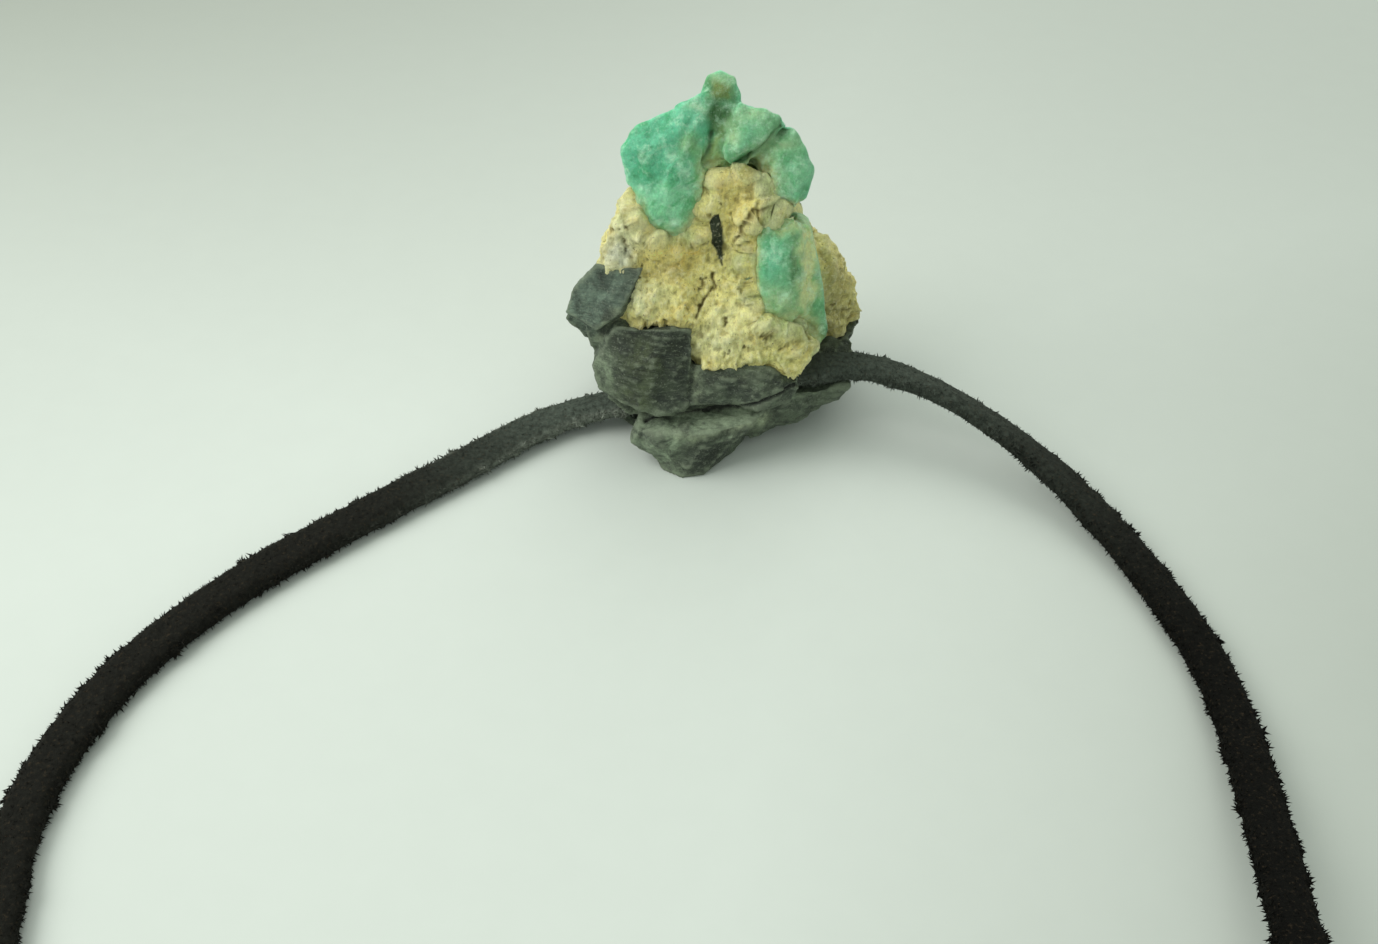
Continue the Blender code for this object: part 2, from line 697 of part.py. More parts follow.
def main():
    clear_scene()
    floor = make_floor_cutter()
    channel = make_channel_cutter("channel_cutter", CHANNEL_ROUTE)
    cluster, prism = make_emeralds()
    feldspar = make_feldspar(channel)
    schist = make_schist(channel, floor)
    for stone in (feldspar, schist):
        keep_largest_body(stone)
    finish(cluster, "emerald")
    finish(prism, "emerald")
    finish(feldspar, "feldspar")
    finish(schist, "schist")
    finish(make_lace("lace_right", RIGHT_ROUTE), "suede")
    finish(make_lace("lace_left", LEFT_ROUTE), "suede")
    finish(make_coil(), "suede")
    finish(make_knot(), "suede")
    finish(make_tie(), "thread")


main()
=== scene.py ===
"""The looks of a raw emerald in its rock, threaded on a suede lace.

Each mineral is a copy of its plain solid under an even skin of small faces. The skin is moved along its
normals by that mineral's own relief, and coloured by soft zones round named places. Shapes are worked out
in millimetres in the part's own frame, and become metres when a mesh is made.
"""

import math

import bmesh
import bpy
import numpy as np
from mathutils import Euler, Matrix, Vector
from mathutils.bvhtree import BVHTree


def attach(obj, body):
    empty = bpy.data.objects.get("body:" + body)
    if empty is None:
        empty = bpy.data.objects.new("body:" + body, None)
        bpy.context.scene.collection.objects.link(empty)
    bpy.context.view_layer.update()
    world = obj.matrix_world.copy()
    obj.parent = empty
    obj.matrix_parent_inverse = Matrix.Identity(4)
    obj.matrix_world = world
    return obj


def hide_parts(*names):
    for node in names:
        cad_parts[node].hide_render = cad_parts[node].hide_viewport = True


bl_info = {
    "name": "Raw emerald on a suede lace",
    "version": (1, 0, 0),
    "blender": (4, 5, 0),
    "location": "View3D > Sidebar > Emerald",
    "description": "Finishes the crystals, the rock and the lace of a raw emerald",
    "category": "Object",
}

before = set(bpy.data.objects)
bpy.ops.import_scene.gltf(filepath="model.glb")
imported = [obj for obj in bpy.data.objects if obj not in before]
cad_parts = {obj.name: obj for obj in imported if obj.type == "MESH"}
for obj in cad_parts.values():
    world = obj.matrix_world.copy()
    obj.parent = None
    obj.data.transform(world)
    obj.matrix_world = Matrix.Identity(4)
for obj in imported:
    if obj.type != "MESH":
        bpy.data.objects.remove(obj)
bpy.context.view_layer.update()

MM = 0.001
# How far above the floor the lace and its fibres stay, in mm
FLOOR_GAP = 0.03
FLOOR_HALF = 2000.0

# The corners of a cell of space, and the primes that scatter the numbers of the cells
CORNERS = [np.array((x, y, z)) for x in (0, 1) for y in (0, 1) for z in (0, 1)]
SCATTER = (374761393, 668265263, 1274126177)
SEED_SCATTER = 362437
LAST_SCATTER = 1103515245
# Each finer layer of noise is moved and made smaller by this much
OCTAVE_SHIFT = 3.7
OCTAVE_FACTOR = 2.07
# How the broken faces are turned against the part, and the share of a leaf over which its face rises
FACET_TURN = np.array(Euler((0.6, 0.4, 0.9)).to_matrix())
LEAF_RISE = 0.82

# The stone's leaning front, and the slanting way by which places are given on it
FACE_START = -8.6
FACE_LEAN = 0.42
SLANT = np.array((0.02, 0.81, -0.587))

# Where painted shade darkens the paper floor away from the light and towards the lower right: a centre,
# the distances of full and of no shade, and its strength
FLOOR_PAINTED_SHADE = [
    ((-0.13, 0.12, 0.0), 0.02, 0.16, 0.95), ((0.02, 0.16, 0.0), 0.05, 0.17, 0.55),
    ((0.085, -0.055, 0.0), 0.01, 0.085, 0.75), ((0.12, 0.03, 0.0), 0.03, 0.12, 0.30),
]

# How much darker the paper's fibres are than the paper
FLOOR_MOTTLE = 0.985

# The camera stands in front of the stone and looks down at it
CAMERA_PLACE = (-0.0022, -0.087, 0.078)
CAMERA_DOWN = 45.0
CAMERA_LENS = 33.96
SENSOR_WIDTH = 36.0
CAMERA_NEAR = 0.001
# The lamps, the place that they are turned to, and their colour
KEY_PLACE = (-0.30, -0.02, 0.30)
BACK_PLACE = (0.03, 0.28, 0.34)
LIT_PLACE = Vector((0, 0, 0.01))
LAMP_COLOUR = (1.0, 0.99, 0.96)

# Routes of the free lace in metres, with its twist in degrees: from inside the rock out to the coil on the
# right, and from the coil back into the rock on the left
RIGHT_ROUTE = [
    (-0.0009, -0.0025, 0.0039, 90), (0.0034, -0.0025, 0.0049, 90), (0.0073, -0.0026, 0.0057, 90),
    (0.0116, -0.0023, 0.0061, 88), (0.0157, -0.0032, 0.0057, 76), (0.0199, -0.0050, 0.0048, 64),
    (0.0238, -0.0077, 0.0037, 64), (0.0275, -0.0113, 0.0026, 74), (0.0308, -0.0161, 0.0017, 82),
    (0.0335, -0.0217, 0.0011, 87), (0.0355, -0.0285, 0.0011, 90), (0.0359, -0.0350, 0.0016, 90),
    (0.0352, -0.0420, 0.0027, 90), (0.0341, -0.0492, 0.0040, 90), (0.0334, -0.0550, 0.0048, 90),
    (0.0329, -0.0615, 0.0048, 90), (0.0330, -0.0670, 0.0044, 90),
]
LEFT_ROUTE = [
    (0.0036, -0.0936, 0.0009, 90), (-0.0040, -0.0932, 0.0009, 90), (-0.0120, -0.0909, 0.0009, 90),
    (-0.0195, -0.0865, 0.0010, 90), (-0.0285, -0.0780, 0.0023, 90), (-0.0365, -0.0685, 0.0010, 90),
    (-0.0430, -0.0580, 0.0009, 90), (-0.0458, -0.0480, 0.0009, 90), (-0.0463, -0.0411, 0.0009, 90),
    (-0.0447, -0.0339, 0.0009, 90), (-0.0415, -0.0278, 0.0009, 90), (-0.0363, -0.0216, 0.0009, 90),
    (-0.0296, -0.0158, 0.0009, 90), (-0.0223, -0.0100, 0.0009, 90), (-0.0164, -0.0052, 0.0010, 88),
    (-0.0124, -0.0030, 0.0012, 85), (-0.0090, -0.0025, 0.0019, 90), (-0.0050, -0.0025, 0.0029, 90),
    (-0.0013, -0.0025, 0.0038, 90),
]

# The coil: degrees travelled, then the radius and the height of the lace there. It comes in on top, outside
COIL_CENTRE = (0.0156, -0.0750)
COIL_START_ANGLE = 8.0
COIL_WINDING = [
    (0, 0.0176, 0.0039), (30, 0.0180, 0.0030), (60, 0.0181, 0.0027), (185, 0.0181, 0.0027),
    (235, 0.0166, 0.0027), (315, 0.0164, 0.0027), (345, 0.01485, 0.0027), (500, 0.0149, 0.0027),
    (552, 0.0149, 0.00095), (818, 0.0149, 0.00095), (868, 0.0181, 0.00095), (1178, 0.0181, 0.00095),
]
COIL_STEP = 12.0
# The tie's thread: where it goes round the coil, its thickness in mm, its turns and their spacing, the distance
# of its rings in mm, and the points of a ring
TIE_ANGLE = math.radians(150)
TIE_RADIUS = 16.5
TIE_THREAD = 0.34
TIE_WRAPS = 6
TIE_SPACING = 1.08
THREAD_RINGS = 0.35
THREAD_POINTS = 6
# How far the lace is lifted over the tie's thread, in metres, and along how much of the turn, in radians
TIE_LIFT = 0.00030
TIE_LIFT_TURN = 0.2
# The points worked out between two of a route, the distance of the lace's rings in mm, and a ring's points
ROUTE_STEPS = 40
RING_SPACING = 0.17
SECTION_POINTS = 18


# Noise and broken cells, worked out for many points at once

def lattice_value(cells, seed):
    """An even random number from 0 to 1 for each whole-number cell of space."""
    mixed = cells @ np.array(SCATTER) + seed * SEED_SCATTER
    mixed = (mixed ^ (mixed >> 13)) * LAST_SCATTER
    mixed = mixed ^ (mixed >> 16)
    return (mixed & 0xFFFFFF) / 0xFFFFFF


def soft_noise(points, size, seed):
    """Smooth noise from -1 to 1, with bumps of about this size."""
    place = points / size
    low = np.floor(place).astype(np.int64)
    part = place - low
    part = part * part * (3 - 2 * part)
    total = np.zeros(len(points))
    for corner in CORNERS:
        weight = np.prod(np.where(corner == 1, part, 1 - part), axis=1)
        total += weight * lattice_value(low + corner, seed)
    return total * 2 - 1


def rough_noise(points, size, seed, octaves=3):
    """Noise with finer and finer bumps on it."""
    total = np.zeros(len(points))
    for octave in range(octaves):
        finer = size / OCTAVE_FACTOR ** octave
        total += soft_noise(points + OCTAVE_SHIFT * octave, finer, seed + octave) / 2 ** octave
    return total / 1.5


def wandering(points, size, reach, seed):
    """A soft random shift for each point."""
    return reach * np.stack([soft_noise(points, size, seed + axis) for axis in range(3)], axis=1)


def split_cells(points, size, seed):
    """Space split into turned cubes, and each into six: its corner, the order of its axes, the place in it."""
    place = points @ FACET_TURN / size + 0.37 * seed
    corner = np.floor(place).astype(np.int64)
    order = np.argsort(corner - place, axis=1)
    return corner, order, np.take_along_axis(place - corner, order, axis=1)


def facets(points, size, height, seed):
    """Relief of broken faces: flat, each tilted its own way, and joined at sharp creases."""
    corner, order, part = split_cells(points, size, seed)
    weights = -np.diff(part, axis=1, prepend=1.0, append=0.0)
    total = weights[:, 0] * lattice_value(corner, seed)
    for step in range(3):
        corner = corner + np.eye(3, dtype=np.int64)[order[:, step]]
        total += weights[:, step + 1] * lattice_value(corner, seed)
    return height * (total * 2 - 1)


def facet_tones(points, size, seed):
    """A random number from -1 to 1 for each of the broken faces."""
    corner, order, _ = split_cells(points, size, seed)
    return (lattice_value(corner + 17 * order, seed + 3) * 2 - 1)[:, None]


def broken_faces(points, height, layers):
    """Relief of broken faces of several sizes: each a size in mm, a share of the height, and a seed."""
    return sum(facets(points, size, share * height, seed) for size, share, seed in layers)


def sawtooth(values):
    """A slow rise and a quick fall for each whole number, like the edges of a stack of leaves."""
    part = values - np.floor(values)
    return np.where(part < LEAF_RISE, part / LEAF_RISE, (1 - part) / (1 - LEAF_RISE))


def blend_in(values, low, high):
    """0 at low and 1 at high, with soft ends."""
    part = np.clip((values - low) / (high - low), 0, 1)
    return part * part * (3 - 2 * part)


# Soft zones

def ball(points, centre, reach):
    """How much each point lies in a soft ball: 1 at its middle, 0 well outside."""
    away = (points - np.array(centre)) / np.array(reach)
    return np.exp(-np.sum(away * away, axis=-1))


def seam(points, start, end, reach):
    """How much each point lies along a soft line."""
    start, end = np.array(start), np.array(end)
    along = end - start
    share = np.clip((points - start) @ along / (along @ along), 0, 1)
    away = np.linalg.norm(points - start - share[:, None] * along, axis=1) / reach
    return np.exp(-away * away)


def painted(colours, share, colour, strength=1.0):
    """The colours with one more laid over them, by its share at each point."""
    share = np.clip(share * strength, 0, 1)[:, None]
    return colours + share * (np.array(colour[:3]) - colours)


def on_face(points):
    """Each point moved along the slant to the leaning front: its place across and up there."""
    moved = (FACE_START + FACE_LEAN * points[:, 2] - points[:, 1]) / (SLANT[1] - FACE_LEAN * SLANT[2])
    return np.stack([points[:, 0] + moved * SLANT[0], points[:, 2] + moved * SLANT[2]], axis=1)


def spread_places(points, *shifts):
    """Places on the front, each shifted at random by (size, reach, seed), so that zones get ragged borders."""
    places = on_face(points)
    for size, reach, seed in shifts:
        places = places + wandering(points, size, reach, seed)[:, [0, 2]]
    return places


def facing(normals, low=-0.1, high=0.35):
    """1 where the surface looks to the front, and 0 where it looks away."""
    return blend_in(normals @ -SLANT, low, high)


def zoned(places, base, zones, shown):
    """A base colour under zones in turn: each a centre or two ends, a reach, a colour and a strength."""
    tint = np.tile(base[:3], (len(places), 1))
    for place, reach, colour, strength in zones:
        tint = painted(tint, share_at(places, place, reach) * shown, colour, strength)
    return tint


def seams(places, lines, reach):
    """How much each place lies on any of these lines."""
    return np.max([seam(places, start, end, reach) for start, end in lines], axis=0)


def share_at(places, place, reach):
    """How much each place lies at a centre, or along a line between two ends."""
    return seam(places, *place, reach) if isinstance(place[0], tuple) else ball(places, place, reach)


def pushed(points, fills, shown):
    """The points moved near places on the front: each a centre or two ends, a reach, and the way in mm."""
    for place, reach, way in fills:
        points = points + (share_at(on_face(points), place, reach) * shown)[:, None] * np.array(way)
    return points


def lens(places, start, end, half_width):
    """1 inside a patch that is pointed at both ends and widest above its middle, with soft borders."""
    start, end = np.array(start), np.array(end)
    along = end - start
    share = np.clip((places - start) @ along / (along @ along), 0, 1)
    away = np.linalg.norm(places - start - share[:, None] * along, axis=1)
    width = half_width * np.sin(np.pi * share ** 0.7)
    return 1 - blend_in(away - width, -0.08, 0.08)


def colour_of(red, green, blue):
    """A colour as a screen shows it, from 0 to 255, as the shaders want it."""
    linear = []
    for value in (red, green, blue):
        part = value / 255
        linear.append(part / 12.92 if part < 0.04045 else ((part + 0.055) / 1.055) ** 2.4)
    return (*linear, 1.0)


# Meshes

def mesh_object(name, points, faces):
    """A new object of these points, in mm, and faces."""
    data = bpy.data.meshes.new(name)
    data.from_pydata((np.asarray(points) * MM).tolist(), [], faces)
    data.validate()
    item = bpy.data.objects.new(name, data)
    bpy.context.scene.collection.objects.link(item)
    return item


def closed_copy(node):
    """The node's solid with its loose triangles joined."""
    mesh = bmesh.new()
    mesh.from_mesh(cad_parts[node].data)
    bmesh.ops.remove_doubles(mesh, verts=mesh.verts, dist=0.001 * MM)
    data = bpy.data.meshes.new(node + "_solid")
    mesh.to_mesh(data)
    mesh.free()
    return data


def plain_mesh(item):
    """Turns the result of the object's modifiers into its own mesh, and removes them."""
    bpy.context.view_layer.update()
    graph = bpy.context.evaluated_depsgraph_get()
    made = bpy.data.meshes.new_from_object(item.evaluated_get(graph))
    item.modifiers.clear()
    item.data = made
    return item


def on_front(corners):
    """Points in mm for corners given by their place on the front and by how far each stands out from it."""
    return [np.array((x, FACE_START + FACE_LEAN * z, z)) - out * SLANT for x, z, out in corners]


def even_skin(node, name, voxel, blocks=()):
    """The node's solid, and blocks given by corners on the front, under one even skin of small faces."""
    data = closed_copy(node)
    for corners in blocks:
        mesh = bmesh.new()
        mesh.from_mesh(data)
        made = [mesh.verts.new(point * MM) for point in on_front(corners)]
        bmesh.ops.convex_hull(mesh, input=made)
        mesh.to_mesh(data)
        mesh.free()
    item = bpy.data.objects.new(name, data)
    bpy.context.scene.collection.objects.link(item)
    remesh = item.modifiers.new("skin", "REMESH")
    remesh.mode = "VOXEL"
    remesh.voxel_size = voxel * MM
    return plain_mesh(item)


def read_rows(items, name, width, kind):
    """A row of numbers for each of a mesh's vertices or edges."""
    flat = np.empty(len(items) * width, kind)
    items.foreach_get(name, flat)
    return flat.reshape(-1, width)


def read_points(data):
    return read_rows(data.vertices, "co", 3, np.float32).astype(float) / MM


def read_normals(data):
    return read_rows(data.vertices, "normal", 3, np.float32).astype(float)


def read_edges(data):
    return read_rows(data.edges, "vertices", 2, np.int32)


def write_points(data, points):
    data.vertices.foreach_set("co", (points * MM).astype(np.float32).ravel())
    data.update()


def evened(values, edges, rounds):
    """Each value made the mean of its neighbours' values, some times over."""
    count = len(values)
    columns = values if values.ndim == 2 else values[:, None]
    links = np.bincount(edges.ravel(), minlength=count)
    starts, ends = edges.T
    for _ in range(rounds):
        columns = np.stack([
            (np.bincount(starts, column[ends], count) + np.bincount(ends, column[starts], count)) / links
            for column in columns.T
        ], axis=1)
    return columns if values.ndim == 2 else columns[:, 0]


def surface_of(data, points, edges):
    """The softened normals of the mesh, once its points are these."""
    write_points(data, points)
    return unit(evened(read_normals(data), edges, 2))


def ridges_and_dips(points, normals, edges, rounds, ridge, dip):
    """How much each point stands out from its surroundings and lies deep in them, between two heights each."""
    raised = np.sum(normals * (points - evened(points, edges, rounds)), axis=1)
    return blend_in(raised, *ridge), blend_in(-raised, *dip)


def store(data, name, values):
    """Keeps a number or a colour at each point of the mesh."""
    if values.ndim == 1:
        attribute = data.attributes.new(name, "FLOAT", "POINT")
        attribute.data.foreach_set("value", values.astype(np.float32))
        return
    attribute = data.attributes.new(name, "FLOAT_COLOR", "POINT")
    colours = np.concatenate([np.clip(values, 0, 1), np.ones((len(values), 1))], axis=1)
    attribute.data.foreach_set("color", colours.astype(np.float32).ravel())


def near_solid(points, nodes, reach):
    """The way from each point to the nearest of these solids, longer than reach where none is in reach."""
    trees = [BVHTree.FromPolygons(
        [vertex.co / MM for vertex in data.vertices], [list(face.vertices) for face in data.polygons]
    ) for data in map(closed_copy, nodes)]
    ways = np.full((len(points), 3), 2.0 * reach)
    for index, point in enumerate(points.tolist()):
        best = reach
        for tree in trees:
            place, _, _, distance = tree.find_nearest(point, best)
            if place is not None:
                best = distance
                ways[index] = np.array(place) - point
    return ways


# Up to this gap in mm one mineral's skin is moved out to another, and by this much into it
NEIGHBOUR_GAP = 0.5
NEIGHBOUR_OVERLAP = 0.08


def move_to_neighbours(points, nodes):
    """Points that face another mineral, moved out to it so that no gap shows, and how much each one went."""
    ways = near_solid(points, nodes, 2 * NEIGHBOUR_GAP)
    distance = np.linalg.norm(ways, axis=1)
    share = 1 - blend_in(distance, 1.25 * NEIGHBOUR_GAP, 2 * NEIGHBOUR_GAP)
    direction = ways / np.maximum(distance, 1e-6)[:, None]
    return points + direction * ((distance + NEIGHBOUR_OVERLAP) * share)[:, None], share


# Shader nodes

class Nodes:
    """A node tree, written as nested calls."""

    def __init__(self, tree):
        self.tree = tree

    def add(self, kind, inputs=None, **settings):
        made = self.tree.nodes.new(kind)
        for key, value in settings.items():
            setattr(made, key, value)
        for key, value in (inputs or {}).items():
            self.give(made.inputs[key], value)
        return made

    def give(self, socket, value):
        if isinstance(value, bpy.types.NodeSocket):
            self.tree.links.new(value, socket)
        else:
            socket.default_value = value

    def math(self, operation, first, second):
        return self.add("ShaderNodeMath", {0: first, 1: second}, operation=operation).outputs[0]


class Recipe(Nodes):
    """A material's node tree."""

    def __init__(self, name, **settings):
        self.material = bpy.data.materials.new(name)
        self.material.use_nodes = True
        super().__init__(self.material.node_tree)
        self.shader = self.tree.nodes["Principled BSDF"]
        for socket, value in settings.items():
            self.shader.inputs[socket.replace("_", " ")].default_value = value
        self.place = self.add("ShaderNodeTexCoord").outputs["Object"]

    def attribute(self, name, output="Fac"):
        return self.add("ShaderNodeAttribute", attribute_name=name).outputs[output]

    def noise(self, size, detail=3.0, roughness=0.55, place=None, distortion=0.0):
        """Noise with bumps of about this many mm."""
        return self.add("ShaderNodeTexNoise", {
            "Vector": place or self.place, "Scale": 1 / (size * MM), "Detail": detail, "Roughness": roughness,
            "Distortion": distortion,
        }).outputs["Fac"]

    def stretched(self, scale, turn):
        """The place, stretched along turned axes."""
        inputs = {"Vector": self.place, "Scale": scale, "Rotation": turn}
        return self.add("ShaderNodeMapping", inputs).outputs["Vector"]

    def ranged(self, value, low, high, new_low=0.0, new_high=1.0):
        return self.add("ShaderNodeMapRange", {
            "Value": value, "From Min": low, "From Max": high, "To Min": new_low, "To Max": new_high,
        }).outputs["Result"]

    def mix(self, share, first, second, how="MIX"):
        made = self.add("ShaderNodeMix", {0: share}, data_type="RGBA", blend_type=how)
        self.give(made.inputs[6], first)
        self.give(made.inputs[7], second)
        return made.outputs[2]

    def shaded(self, colour, value, low, high, darkest, lightest):
        """The colour made darker and lighter by a pattern."""
        return self.mix(1.0, colour, self.ranged(value, low, high, darkest, lightest), "MULTIPLY")

    def laid(self, tint, pattern, low, high, share, colour, how="MIX"):
        """The tint with up to this share of a colour laid on, where the pattern goes from low to high."""
        return self.mix(self.ranged(pattern, low, high, 0.0, share), tint, colour, how)

    def edges_and_hollows(self, tint, share, edge, hollow):
        """The tint with up to this share of one colour on the sharp edges, as painted highlight on paler edges,
        and another in the hollows, as painted shade.
        """
        tint = self.mix(self.math("MULTIPLY", self.attribute("edge"), share), tint, edge)
        return self.mix(self.attribute("hollow"), tint, hollow)

    def bump(self, height, distance, strength=1.0, under=None):
        made = self.add("ShaderNodeBump", {"Height": height, "Distance": distance * MM, "Strength": strength})
        if under is not None:
            self.give(made.inputs["Normal"], under)
        return made.outputs["Normal"]

    def finish(self, **sockets):
        for key, value in sockets.items():
            self.give(self.shader.inputs[key.replace("_", " ")], value)
        return self.material


def emerald_material(looks):
    recipe = Recipe(
        "emerald crystal", IOR=1.57, Subsurface_Weight=0.4, Subsurface_Radius=(0.35, 1.0, 0.75),
        Subsurface_Scale=0.8 * MM, Specular_IOR_Level=0.5,
    )
    tint = recipe.attribute("tint", "Color")
    depth = recipe.noise(1.6, 5.0, 0.65, distortion=0.6)
    tint = recipe.laid(tint, depth, 0.48, 0.68, 0.9, looks.emerald_deep, "MULTIPLY")
    cloud = recipe.noise(1.1, 6.0, 0.72, recipe.stretched((1.0, 1.0, 1.0), (0.3, 0.9, 0.1)), 0.4)
    tint = recipe.laid(tint, cloud, 0.5, 0.66, 0.55, looks.emerald_frost_and_highlight)
    tint = recipe.shaded(tint, recipe.noise(0.4, 5.0, 0.7), 0.3, 0.7, 0.78, 1.2)
    frost = recipe.noise(0.3, 5.0, 0.75)
    tint = recipe.laid(tint, frost, 0.56, 0.7, 0.35, looks.emerald_frost_and_highlight)
    # Frost colour as painted highlight on the sharp edges, and painted shade in the grooves and dips
    tint = recipe.edges_and_hollows(tint, 0.3, looks.emerald_frost_and_highlight, looks.emerald_hollow_shade)
    roughness = recipe.ranged(recipe.noise(0.7, 3.0), 0.3, 0.7, 0.28, 0.6)
    fine = recipe.bump(recipe.noise(0.15, 4.0, 0.65), 0.06, 0.7)
    chips = recipe.bump(frost, 0.10, 0.7, fine)
    normal = recipe.bump(recipe.noise(0.9, 4.0, 0.65, distortion=0.5), 0.30, 0.6, chips)
    return recipe.finish(Base_Color=tint, Roughness=roughness, Normal=normal)


def feldspar_material(looks):
    recipe = Recipe(
        "feldspar crust", IOR=1.53, Subsurface_Weight=0.12, Subsurface_Radius=(0.8, 0.7, 0.5),
        Subsurface_Scale=0.5 * MM,
    )
    tint = recipe.attribute("tint", "Color")
    stain = recipe.noise(1.9, 4.0, 0.6, distortion=0.4)
    tint = recipe.laid(tint, stain, 0.5, 0.7, 0.6, looks.feldspar_stain, "MULTIPLY")
    tint = recipe.shaded(tint, recipe.noise(0.6, 5.0, 0.7), 0.32, 0.68, 0.76, 1.28)
    strands = recipe.noise(0.17, 3.0, 0.6, recipe.stretched((1.0, 1.0, 0.24), (0.25, 0.1, 0.0)))
    tint = recipe.shaded(tint, strands, 0.3, 0.7, 0.84, 1.14)
    pale = recipe.noise(0.30, 4.0, 0.65)
    tint = recipe.laid(tint, pale, 0.56, 0.7, 0.55, looks.feldspar_pale_and_highlight)
    specks = recipe.noise(0.27, 3.0, 0.6, recipe.stretched((1.0, 1.0, 0.8), (0.4, 0.7, 0.2)))
    tint = recipe.laid(tint, specks, 0.64, 0.72, 0.8, looks.feldspar_speck)
    # Paler grains as painted highlight on the sharp edges; in the hollows brown stain with painted shade
    tint = recipe.edges_and_hollows(tint, 0.25, looks.feldspar_pale_and_highlight, looks.feldspar_pit_stain_and_shade)
    fine = recipe.bump(recipe.noise(0.14, 4.0, 0.65), 0.08, 0.9)
    grains = recipe.bump(recipe.noise(0.42, 6.0, 0.75), 0.30, 0.9, fine)
    normal = recipe.bump(strands, 0.14, 0.9, grains)
    roughness = recipe.ranged(pale, 0.45, 0.7, 0.9, 0.6)
    return recipe.finish(Base_Color=tint, Roughness=roughness, Normal=normal)


def schist_material(looks):
    recipe = Recipe("schist rock", IOR=1.5)
    tint = recipe.attribute("tint", "Color")
    cloud = recipe.noise(1.7, 5.0, 0.7, distortion=0.5)
    tint = recipe.laid(tint, cloud, 0.46, 0.62, 0.75, looks.schist_dark)
    tint = recipe.shaded(tint, recipe.noise(0.5, 6.0, 0.8), 0.3, 0.7, 0.55, 1.42)
    leaves = recipe.noise(0.30, 5.0, 0.7, recipe.stretched((0.3, 1.0, 2.4), (0.5, 0.6, 0.0)))
    tint = recipe.laid(tint, leaves, 0.55, 0.66, 0.36, looks.schist_pale_and_highlight)
    # Pale worn edges with painted highlight, and painted shade in the cracks and dips
    tint = recipe.edges_and_hollows(tint, 0.45, looks.schist_pale_and_highlight, looks.schist_crack_shade)
    grain = recipe.noise(0.16, 3.0, 0.65)
    tint = recipe.laid(tint, grain, 0.6, 0.7, 0.45, looks.schist_glint)
    fine = recipe.bump(recipe.noise(0.12, 4.0, 0.65), 0.05, 0.8)
    normal = recipe.bump(leaves, 0.22, 0.9, fine)
    roughness = recipe.ranged(grain, 0.45, 0.7, 0.78, 0.42)
    return recipe.finish(Base_Color=tint, Roughness=roughness, Normal=normal)


def suede_material(looks):
    recipe = Recipe(
        "suede nap", IOR=1.45, Sheen_Weight=0.03, Sheen_Roughness=0.5, Sheen_Tint=(0.6, 0.62, 0.52, 1.0),
        Specular_IOR_Level=0.06,
    )
    nap = recipe.noise(0.42, 5.0, 0.7)
    tint = recipe.shaded(recipe.attribute("tint", "Color"), nap, 0.3, 0.7, 0.5, 1.6)
    flecks = recipe.noise(0.25, 4.0, 0.7)
    tint = recipe.laid(tint, flecks, 0.56, 0.7, 0.5, looks.suede_fleck)
    fine = recipe.bump(recipe.noise(0.09, 3.0, 0.6), 0.06, 0.9)
    normal = recipe.bump(nap, 0.16, 0.8, fine)
    roughness = recipe.ranged(nap, 0.3, 0.7, 0.82, 0.96)
    return recipe.finish(Base_Color=tint, Roughness=roughness, Normal=normal)


def thread_material(looks):
    recipe = Recipe("waxed thread", IOR=1.45, Sheen_Weight=0.15)
    strands = recipe.noise(0.12, 2.0, 0.5, recipe.stretched((1.0, 1.0, 0.35), (0.0, 0.6, 0.0)))
    tint = recipe.mix(recipe.ranged(strands, 0.35, 0.65), looks.suede, looks.thread_colour)
    roughness = recipe.ranged(strands, 0.3, 0.7, 0.45, 0.7)
    return recipe.finish(Base_Color=tint, Roughness=roughness, Normal=recipe.bump(strands, 0.04, 0.7))


def floor_material(looks):
    recipe = Recipe("paper floor", IOR=1.45, Specular_IOR_Level=0.2)
    fibre = recipe.noise(3.0, 3.0)
    mottled = [channel * FLOOR_MOTTLE for channel in looks.floor_colour[:3]]
    tint = recipe.mix(recipe.ranged(fibre, 0.3, 0.7), (*mottled, 1.0), looks.floor_colour)
    # Painted shade: the floor is darkened round each of these centres
    for centre, inner, outer, depth in FLOOR_PAINTED_SHADE:
        away = recipe.add("ShaderNodeVectorMath", {0: recipe.place, 1: centre}, operation="DISTANCE")
        share = recipe.ranged(away.outputs["Value"], inner, outer, depth, 0.0)
        tint = recipe.mix(share, tint, looks.floor_shade, "MULTIPLY")
    return recipe.finish(Base_Color=tint, Roughness=recipe.ranged(fibre, 0.3, 0.7, 0.75, 0.85))


# Settings that a user would change

def colour_setting(name, description, default):
    return bpy.props.FloatVectorProperty(
        name=name, description=description, default=colour_of(*default), size=4, subtype="COLOR", min=0, max=1
    )


def number_setting(name, description, default, **limits):
    return bpy.props.FloatProperty(name=name, description=description, default=default, min=0, **limits)


def length_setting(name, description, default, high=0.1):
    return number_setting(
        name, description, default, max=high, precision=5, subtype="DISTANCE", unit="LENGTH"
    )


